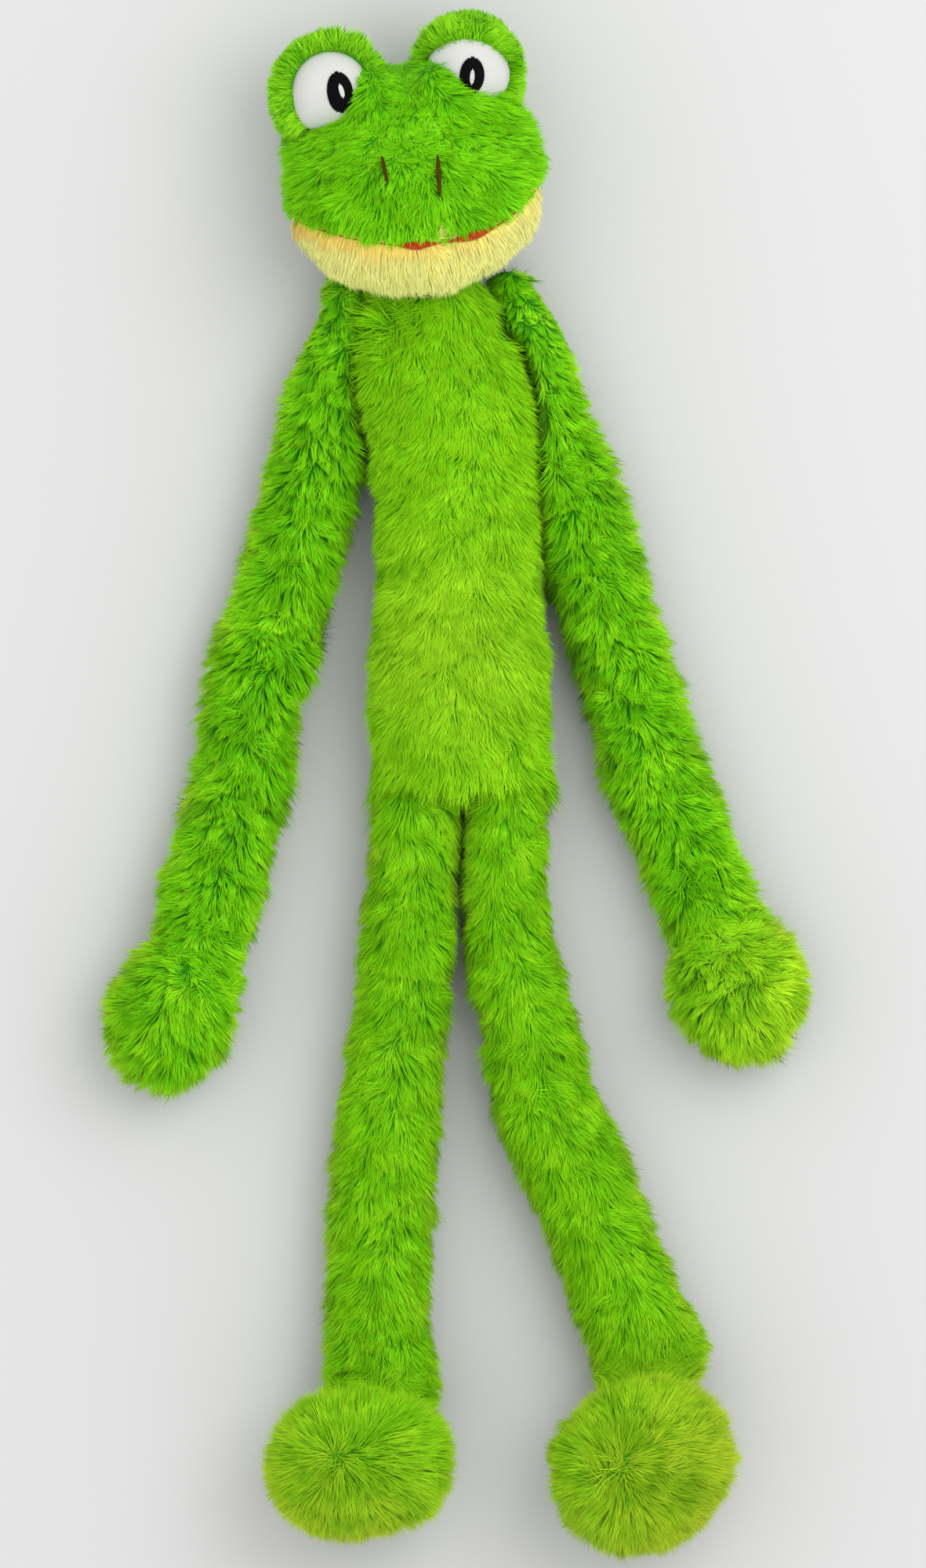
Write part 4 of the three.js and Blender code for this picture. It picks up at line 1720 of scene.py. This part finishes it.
class StitchTree:
    """The Geometry Nodes tree of a satin stitch: threads side by side that fill an oval on a ball."""

    PITCH = 0.55 * MM  # from thread to thread
    RADIUS = 0.62  # of a thread, as a share of the pitch, so that threads press together
    SIDES = 6
    STOPS = 9  # along a thread
    BLUNTNESS = 1.02  # over 1, so that the threads at the oval's ends keep a length

    def __init__(self) -> None:
        """Builds the tree."""
        sizes = dict.fromkeys(("Width", "Length", "Thread", "Ball"), "Float")
        inputs = {"Geometry": "Geometry", **sizes, "Material": "Material"}
        self.wiring = Wiring.begun("satin_stitch", "GeometryNodeTree", inputs, {"Geometry": "Geometry"})
        self.given = self.wiring.given()
        solid = self._thickened(self._bent(self._laid(self._rows())))
        smooth = self.wiring.geometry("SetShadeSmooth", solid)
        dressed = self.wiring.geometry("SetMaterial", smooth, Material=self.given["Material"])
        self.wiring.add("NodeGroupOutput", {"Geometry": dressed})

    def _line(self, end: tuple[float, float, float]) -> Socket:
        """A straight curve through the origin that ends at a place."""
        ends = {"Start": tuple(-part for part in end), "End": end}
        return self.wiring.add("GeometryNodeCurvePrimitiveLine", ends).outputs[0]

    def _rows(self) -> Socket:
        """Sets out the oval's threads.

        Returns:
            The middle of each thread, with the thread's length stored on it.
        """
        wiring, given = self.wiring, self.given
        count = wiring.math("DIVIDE", given["Length"], given["Thread"])
        row = {"Curve": self._line((0.0, 0.5, 0.0)), "Count": count}
        rows = wiring.add("GeometryNodeCurveToPoints", row).outputs["Points"]
        share = wiring.math("MULTIPLY", wiring.split(wiring.place())["Y"], 2.0)
        square = wiring.math("SUBTRACT", self.BLUNTNESS, wiring.math("MULTIPLY", share, share))
        chord = wiring.math("MULTIPLY", wiring.math("SQRT", square), given["Width"])
        measured = wiring.store(rows, "chord", chord, "FLOAT")
        half = wiring.math("MULTIPLY", given["Length"], 0.5)
        spread = wiring.joined(Y=wiring.math("MULTIPLY", share, half))
        return wiring.geometry("SetPosition", measured, Position=spread)

    def _laid(self, rows: object) -> Socket:
        """Lays the threads flat.

        Args:
            rows: Their middles.

        Returns:
            The threads as curves.
        """
        wiring = self.wiring
        line = {"Curve": self._line((0.5, 0.0, 0.0)), "Count": self.STOPS}
        thread = wiring.add("GeometryNodeResampleCurve", line).outputs[0]
        stretch = wiring.joined(X=wiring.named("chord", "FLOAT"), Y=1.0, Z=1.0)
        inputs = {"Points": rows, "Instance": thread, "Scale": stretch}
        threads = wiring.add("GeometryNodeInstanceOnPoints", inputs).outputs[0]
        return wiring.geometry("RealizeInstances", threads)

    def _bent(self, threads: object) -> Socket:
        """Bends the threads over the ball.

        Args:
            threads: The flat threads.

        Returns:
            The bent threads.
        """
        wiring = self.wiring
        flat = wiring.split(wiring.place())
        sizes = (self.given["Ball"], flat["X"], flat["Y"])
        ball, across, along = (wiring.math("MULTIPLY", size, size) for size in sizes)
        rest = wiring.math("SUBTRACT", wiring.math("SUBTRACT", ball, across), along)
        on_ball = wiring.joined(X=flat["X"], Y=flat["Y"], Z=wiring.math("SQRT", rest))
        return wiring.geometry("SetPosition", threads, Position=on_ball)

    def _thickened(self, threads: object) -> Socket:
        """Makes the threads solid.

        Args:
            threads: The threads as curves.

        Returns:
            Their mesh.
        """
        wiring = self.wiring
        radius = wiring.math("MULTIPLY", self.given["Thread"], self.RADIUS)
        circle = {"Resolution": self.SIDES, "Radius": radius}
        section = wiring.add("GeometryNodeCurvePrimitiveCircle", circle).outputs[0]
        inputs = {"Curve": threads, "Profile Curve": section, "Fill Caps": True}
        return wiring.add("GeometryNodeCurveToMesh", inputs).outputs[0]

    def sew(self, name: str, place: Matrix, mark: Mark, ball: float, finish: ThreadFinish) -> Thing:
        """Sews a mark.

        Args:
            name: The name of the piece.
            place: The middle of the ball and the way that the mark faces.
            mark: The mark, which has its width and length.
            ball: The radius of the ball that it lies on.
            finish: Its thread.

        Returns:
            The mark, in place.
        """
        patch = placed(name, bpy.data.meshes.new(name))
        sizes = {"Width": mark.width, "Length": mark.length, "Thread": self.PITCH, "Ball": ball}
        run_tree(patch, self.wiring.tree, sizes | {"Material": finish.material()})
        patch.data.transform(place)
        return patch


@dataclass(frozen=True)
class Brim:
    """The rolled edge of an eye's hood, an arch over the ball."""

    across: float  # from the ball's middle to the edge, at the sides
    up: float  # and at the top
    side_radius: float
    top_radius: float
    side_rise: float  # of the roll's middle above the ball's
    top_rise: float
    lean: float = 0.0  # degrees, its top towards the toy's right
    shrink: float = 0.0  # how much thinner it is at its last end, on the inside
    shrink_from: float = 150.0
    shrink_span: float = 60.0
    start: float = -48.0
    end: float = 228.0
    count: int = 40
    sides: int = 10

    def mesh(self, centre: Vector, axes: HeadFrame) -> Mesh:
        """Makes the roll.

        Args:
            centre: The ball's middle.
            axes: The head's axes.

        Returns:
            The roll as a tube.
        """
        spine, widths = [], []
        lean = math.radians(self.lean)
        right = axes.across * math.cos(lean) + axes.up * math.sin(lean)
        upright = axes.up * math.cos(lean) - axes.across * math.sin(lean)
        for degrees in np.linspace(self.start, self.end, self.count):
            turn = math.radians(degrees)
            top = max(math.sin(turn), 0) ** 2
            radius = self.side_radius + (self.top_radius - self.side_radius) * top
            shrink = self.shrink * float(eased((degrees - self.shrink_from) / self.shrink_span))
            across = (self.across + radius + shrink) * math.cos(turn)
            up = (self.up + radius + shrink) * math.sin(turn)
            place = centre + right * across + upright * up
            place.z += self.side_rise + (self.top_rise - self.side_rise) * top
            spine.append(place)
            widths.append(radius - shrink)
        return tube(spine, widths, self.sides)


@dataclass
class Eye:
    """A smooth cloth ball with an embroidered pupil, in a plush hood."""

    side: Side
    pile: PileTree
    stitches: StitchTree
    axes: HeadFrame
    pupil: Mark
    glint: Mark
    brim: Brim
    radius: float
    hood_cut: PileCut = PileCut(
        length=5 * MM, stand=0.36, width=0.26 * MM, tuft=2.6 * MM, stray=0.16, curl=0.3
    )
    hood_voxel: float = 1.4 * MM
    hood_closing: float = 0.8 * MM
    hood_inset: float = 0.3 * MM
    hood_smoothing: int = 4
    hood_droop: float = 0.2
    hood_flush: float = 0.25
    hood_fill: float = 0.5
    lining_gap: float = 3 * MM  # between the ball and the lining that is bare
    thread_rise: float = 0.3 * MM
    ball_fill: float = 0.9
    ball_fineness: int = 5
    seed: int = 51

    def centre(self) -> Vector:
        """Finds the middle of the eyeball, whose solid is cut only where the head holds it.

        Returns:
            The middle.
        """
        low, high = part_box(f"eyeball_{self.side.label}")
        half = (high.x - low.x) / 2
        return Vector((low.x + half, high.y - half, high.z - half))

    def build(self) -> None:
        """Makes the eyeball, the pupil with its slit, and the hood."""
        centre = self.centre()
        self._eyeball(centre)
        self._sew(centre, "pupil", self.pupil, BLACK_THREAD, "black_thread", 1)
        self._sew(centre, "eye_glint", self.glint, WHITE_THREAD, "white_thread", 2)
        self._hood(centre)

    def _hood(self, centre: Vector) -> None:
        """Makes the plush hood.

        Args:
            centre: The ball's middle.
        """
        node = f"eye_hood_{self.side.label}"
        form = Backing(
            [node],
            voxel=self.hood_voxel,
            closing=self.hood_closing,
            inset=self.hood_inset,
            smoothing=self.hood_smoothing,
            extras=[self.brim.mesh(centre, self.axes)],
        ).form()
        lining = self.radius + self.lining_gap
        panel = bared(form.data, lambda face: looks_at(face, centre, lining))
        out = unit(places(panel) - np.array(centre))
        full = np.ones(len(out))
        flush = full * self.hood_flush
        paint(panel, comb=drooping(out, self.hood_droop), pile=full, lift=full, flush=flush)
        piece = self.pile.grow(f"{node}_plush", panel, self.hood_cut, FACE_PILE, self.seed)
        bpy.data.objects.remove(form)
        ride_along(piece, "head", "green_plush", node)

    def _eyeball(self, centre: Vector) -> None:
        """Makes the white cloth ball.

        Args:
            centre: Its middle.
        """
        label = self.side.label
        built = bmesh.new()
        bmesh.ops.create_icosphere(built, subdivisions=self.ball_fineness, radius=self.radius)
        bmesh.ops.translate(built, vec=centre, verts=built.verts)
        for face in built.faces:
            face.smooth = True
        ball = placed(f"eyeball_{label}_cloth", made_mesh("ball", built))
        bulge_out(ball.data, EYE_BULGES[self.side])
        ball.data.materials.append(EYE_CLOTH.material())
        ride_along(ball, "head", "eye_cloth", f"eyeball_{label}")

    def _sew(
        self, centre: Vector, kind: str, mark: Mark, finish: ThreadFinish, slot: str, layer: int
    ) -> None:
        """Sews a mark on the ball.

        Args:
            centre: The ball's middle.
            kind: The start of the name of the CAD node that the mark stands for.
            mark: Where the picture shows it.
            finish: Its thread.
            slot: Its material slot.
            layer: Which layer of thread it is on the ball.
        """

        def height(across: float, up: float) -> float:
            """The ball's height above the ground at a place."""
            apart = (across - centre.x) ** 2 + (up - centre.y) ** 2
            return centre.z + math.sqrt(max(self.radius**2 - apart, 0))

        out = (mark.over(height) - centre).normalized()
        place = facing(centre, mark.upright(), out)
        ball = self.radius + self.thread_rise * layer
        node = f"{kind}_{self.side.label}"
        patch = self.stitches.sew(f"{node}_stitches", place, mark, ball, finish)
        ride_along(patch, "head", slot, node)


@dataclass
class Nostril:
    """A short line of brown embroidery on the snout."""

    side: Side
    stitches: StitchTree
    mark: Mark
    flattest: float = 90 * MM  # the radii that its bow may have
    roundest: float = 20 * MM
    least_sag: float = 0.001 * MM
    rise: float = 0.5 * MM

    def build(self) -> None:
        """Sews the nostril along the curve of the snout."""
        node = f"nostril_{self.side.label}"
        skin = mesh_tree(frame["nodes"]["head_cover"].data)

        def height(across: float, up: float) -> float:
            """The snout's height above the ground at a place."""
            return skin.ray_cast(Vector((across, up, CLEAR_HEIGHT)), -SKYWARD)[0].z

        top = self.mark.over(height)
        half = self.mark.upright() * self.mark.length / 2
        ends = [top - half, top + half]
        for end in ends:
            end.z = height(end.x, end.y)
        up = (ends[1] - ends[0]).normalized()
        out = SKYWARD.cross(up).cross(up).normalized()
        out = out if out.z > 0 else -out
        sag = max((top - (ends[0] + ends[1]) / 2).dot(out), self.least_sag)
        bow = min(max(self.mark.length**2 / (8 * sag), self.roundest), self.flattest)
        place = facing(top + out * (self.rise - bow), up, out)
        patch = self.stitches.sew(f"{node}_stitches", place, self.mark, bow, BROWN_THREAD)
        ride_along(patch, "head", "brown_thread", node)


PUPILS = {
    Side.RIGHT: Mark(434, 118, 9.4 * MM, 14.6 * MM, 10),
    Side.LEFT: Mark(602, 97, 8.8 * MM, 13.2 * MM, -2),
}
GLINTS = {
    Side.RIGHT: Mark(435, 116, 1.7 * MM, 5.0 * MM, 18),
    Side.LEFT: Mark(602, 98, 1.6 * MM, 5.4 * MM, -3),
}
NOSTRILS = {
    Side.RIGHT: Mark(490.5, 216.5, 1.5 * MM, 11.5 * MM, 12),
    Side.LEFT: Mark(559.5, 224, 1.8 * MM, 15.4 * MM, 3),
}
BRIMS = {
    Side.RIGHT: Brim(12.8 * MM, 11.9 * MM, 4 * MM, 4.4 * MM, 3 * MM, 3 * MM, shrink=2 * MM),
    Side.LEFT: Brim(15.2 * MM, 5.9 * MM, 2.4 * MM, 6.2 * MM, 2 * MM, 6 * MM, -16),
}
EYE_RADII = {Side.RIGHT: 14.5 * MM, Side.LEFT: 15.4 * MM}

# How the stuffed parts lie in the picture.
TORSO_BULGES = (
    Bulge(448, 470, 20 * MM, swell=2.6 * MM),
    Bulge(708, 500, 20 * MM, swell=2 * MM),
    Bulge(476, 398, 3 * MM, swell=-2.4 * MM),
    Bulge(516, 388, 3 * MM, swell=-2.4 * MM),
    Bulge(446, 418, 3 * MM, swell=-3 * MM),
    Bulge(462, 880, 34 * MM, swell=3.4 * MM),
    Bulge(462, 1040, 16 * MM, swell=1.4 * MM),
    Bulge(710, 850, 16 * MM, swell=1.4 * MM),
    Bulge(706, 1000, 16 * MM, swell=1.4 * MM),
    Bulge(590, 1000, 30 * MM, up=-3 * MM),
)
HEAD_BULGES = (
    Bulge(352, 195, 11 * MM, swell=5 * MM),
    Bulge(372, 290, 12 * MM, swell=2.4 * MM),
    Bulge(692, 155, 13 * MM, swell=6 * MM),
    Bulge(684, 262, 12 * MM, swell=2.4 * MM),
    Bulge(612, 128, 9 * MM, swell=3.2 * MM),
    Bulge(474, 121, 8 * MM, swell=8.6 * MM),
    Bulge(551, 95, 7 * MM, swell=8 * MM),
    Bulge(628, 124, 6 * MM, swell=4 * MM),
    Bulge(384, 176, 8 * MM, swell=3 * MM),
    Bulge(562, 372, 18 * MM, up=-2.8 * MM),
    Bulge(700, 190, 4 * MM, swell=2.6 * MM),
    Bulge(693, 150, 4 * MM, swell=2.4 * MM),
)
EYE_BULGES = {
    Side.RIGHT: (Bulge(392, 156, 7 * MM, across=-1.3 * MM, up=-2 * MM),),
    Side.LEFT: (Bulge(640, 108, 6 * MM, across=0.6 * MM, up=-0.6 * MM),),
}
ARMS = {
    Side.RIGHT: (
        Bulge(440, 375, 14 * MM, up=10 * MM),
        Bulge(390, 385, 10 * MM, swell=-4 * MM),
        Bulge(355, 480, 12 * MM, swell=2 * MM),
        Bulge(262, 830, 24 * MM, swell=4.4 * MM),
        Bulge(398, 780, 16 * MM, swell=-1.6 * MM),
        Bulge(388, 900, 14 * MM, swell=-4 * MM),
        Bulge(205, 1120, 14 * MM, swell=3.2 * MM),
        Bulge(136, 1205, 15 * MM, swell=-9 * MM),
        Bulge(225, 1385, 18 * MM, swell=8 * MM),
    ),
    Side.LEFT: (
        Bulge(655, 385, 17 * MM, across=-2 * MM, up=13 * MM),
        Bulge(706, 362, 13 * MM, across=-4 * MM, swell=-5 * MM),
        Bulge(775, 500, 22 * MM, swell=-3 * MM),
        Bulge(727, 850, 12 * MM, swell=-2 * MM),
        Bulge(775, 1010, 24 * MM, swell=3 * MM),
        Bulge(895, 930, 14 * MM, swell=-2.6 * MM),
        Bulge(835, 1240, 14 * MM, swell=4 * MM),
        Bulge(1015, 1190, 13 * MM, swell=3 * MM),
        Bulge(1000, 1350, 14 * MM, swell=-1.6 * MM),
    ),
}
LEGS = {
    Side.RIGHT: (
        Bulge(532, 1010, 15 * MM, up=9 * MM),
        Bulge(440, 1280, 20 * MM, swell=-1.6 * MM),
        Bulge(588, 1230, 18 * MM, swell=1.6 * MM),
        Bulge(500, 1540, 60 * MM, across=-2.4 * MM),
        Bulge(570, 1770, 16 * MM, swell=10 * MM),
        Bulge(335, 1890, 12 * MM, swell=2 * MM),
        Bulge(490, 1945, 22 * MM, up=6 * MM),
    ),
    Side.LEFT: (
        Bulge(650, 1010, 15 * MM, up=9 * MM),
        Bulge(655, 1220, 46 * MM, across=-5 * MM),
        Bulge(600, 1200, 16 * MM, swell=2.4 * MM),
        Bulge(722, 1150, 24 * MM, swell=-3 * MM),
        Bulge(645, 1440, 18 * MM, swell=2.6 * MM),
        Bulge(820, 1600, 44 * MM, across=3.2 * MM),
        Bulge(830, 1520, 14 * MM, swell=-2.4 * MM),
        Bulge(895, 1700, 17 * MM, swell=9 * MM),
        Bulge(720, 1790, 14 * MM, swell=-4 * MM),
        Bulge(705, 1930, 12 * MM, swell=3 * MM),
        Bulge(800, 1930, 30 * MM, up=-6 * MM),
    ),
}
WHORLS = {
    ("hand", Side.RIGHT): (209, 1290),
    ("hand", Side.LEFT): (943, 1238),
    ("foot", Side.RIGHT): (424, 1866),
    ("foot", Side.LEFT): (781, 1889),
}
# The paler dye of each hand and foot; where one is paler than its twin, that is painted light.
HAND_FLUSH = {Side.RIGHT: 0.06, Side.LEFT: 0.45}
FOOT_FLUSH = {Side.RIGHT: 0.42, Side.LEFT: 0.5}
FOOT_LIT_SIDE = {Side.RIGHT: (-0.4, -0.92, 0), Side.LEFT: (1, 0, 0)}
ARM_CUT = PileCut(length=10 * MM, lie=0.6, stand=0.64, tuft=3.6 * MM, gather=0.9, draw=0.35, curl=1.1)
LEG_CUT = PileCut(
    length=10 * MM,
    density=2.65 / MM**2,
    lie=0.74,
    stand=0.54,
    tuft=3.2 * MM,
    gather=0.75,
    draw=0.35,
    curl=0.8,
)


# Studio.


@dataclass
class Studio:
    """A pale floor under soft light, and a camera that looks straight down."""

    distance: float = 12.0
    sensor: float = 36.0
    floor_half: float = 3.0
    floor: Colour = (206, 206, 206)
    floor_roughness: float = 0.9
    ambient: float = 1.1
    key_watts: float = 9.6
    key_size: float = 1.2
    key_place: tuple[float, float, float] = (0.7, 0.5, 1.5)

    @classmethod
    def seat(cls) -> Vector:
        """Finds the camera's place.

        Returns:
            A place over the middle of the picture.
        """
        across = (PICTURE_WIDTH_PX / 2 - ORIGIN_X_PX) * PIXEL
        up = (ORIGIN_Y_PX - PICTURE_HEIGHT_PX / 2) * PIXEL
        return Vector((across, up, cls.distance))

    def build(self) -> None:
        """Makes the camera, the lights and the floor."""
        bpy.context.scene.view_settings.view_transform = "Standard"
        self._camera()
        self._world()
        self._key()
        self._floor()

    def _camera(self) -> None:
        """Makes the camera, which frames the picture's height."""
        camera = bpy.data.cameras.new("camera")
        camera.sensor_width = self.sensor
        half = PICTURE_HEIGHT_PX * PIXEL / 2
        camera.lens = self.sensor / 2 * self.distance / half
        camera.clip_end = 2 * self.distance
        eye = bpy.data.objects.new("camera", camera)
        eye.location = self.seat()
        bpy.context.scene.collection.objects.link(eye)
        bpy.context.scene.camera = eye

    def _world(self) -> None:
        """Makes the light from all round."""
        world = bpy.data.worlds.new("world")
        world.use_nodes = True
        background = world.node_tree.nodes["Background"].inputs
        background["Strength"].default_value = self.ambient
        background["Color"].default_value = (1, 1, 1, 1)
        bpy.context.scene.world = world

    def _key(self) -> None:
        """Makes the soft key light, which looks at the origin."""
        lamp = bpy.data.lights.new("key", "AREA")
        lamp.energy = self.key_watts
        lamp.size = self.key_size
        key = bpy.data.objects.new("key", lamp)
        key.location = self.key_place
        key.rotation_mode = "QUATERNION"
        key.rotation_quaternion = (-Vector(self.key_place)).to_track_quat("-Z", "Y")
        bpy.context.scene.collection.objects.link(key)

    def _floor(self) -> None:
        """Makes a broad pale plane just under the toy."""
        built = bmesh.new()
        bmesh.ops.create_grid(built, x_segments=1, y_segments=1, size=self.floor_half)
        plane = placed("floor", made_mesh("floor", built))
        material, _, shader = cloth_material("floor", self.floor_roughness, 0.0)
        shader.inputs["Base Color"].default_value = linear(self.floor)
        plane.data.materials.append(material)


def main() -> None:
    """Builds the frog, piece by piece, and its studio."""
    Studio().build()
    pile, stitches = PileTree(), StitchTree()
    Torso(pile).build()
    for side in Side:
        Limb(
            side,
            pile,
            ("upper_arm", "forearm", "hand"),
            ("shoulder", "elbow", "wrist"),
            WHORLS["hand", side],
            ARMS[side],
            ARM_CUT,
            ARM_PILE,
            flush=HAND_FLUSH[side],
            warm_turn=(side.sign, 0, 0),
            sweep=2.2,
            root_inset=4 * MM,
            root_crop=0.7,
            root_lift=0.4,
            whorl_reach=24 * MM,
            seed=100 + side.sign,
        ).build()
        Limb(
            side,
            pile,
            ("thigh", "shin", "foot"),
            ("hip", "knee", "ankle"),
            WHORLS["foot", side],
            LEGS[side],
            LEG_CUT,
            LEG_PILE,
            flush=FOOT_FLUSH[side],
            warm_turn=FOOT_LIT_SIDE[side],
            sweep=0.25,
            root_inset=0.5 * MM,
            seed=200 + side.sign,
        ).build()
    axes = HeadFrame()
    Head(pile, axes, MouthLine(axes)).build()
    for side in Side:
        marks = (PUPILS[side], GLINTS[side], BRIMS[side], EYE_RADII[side])
        Eye(side, pile, stitches, axes, *marks).build()
        Nostril(side, stitches, NOSTRILS[side]).build()


if __name__ == "__main__":
    logging.basicConfig(level=logging.INFO, format="%(message)s")
    main()
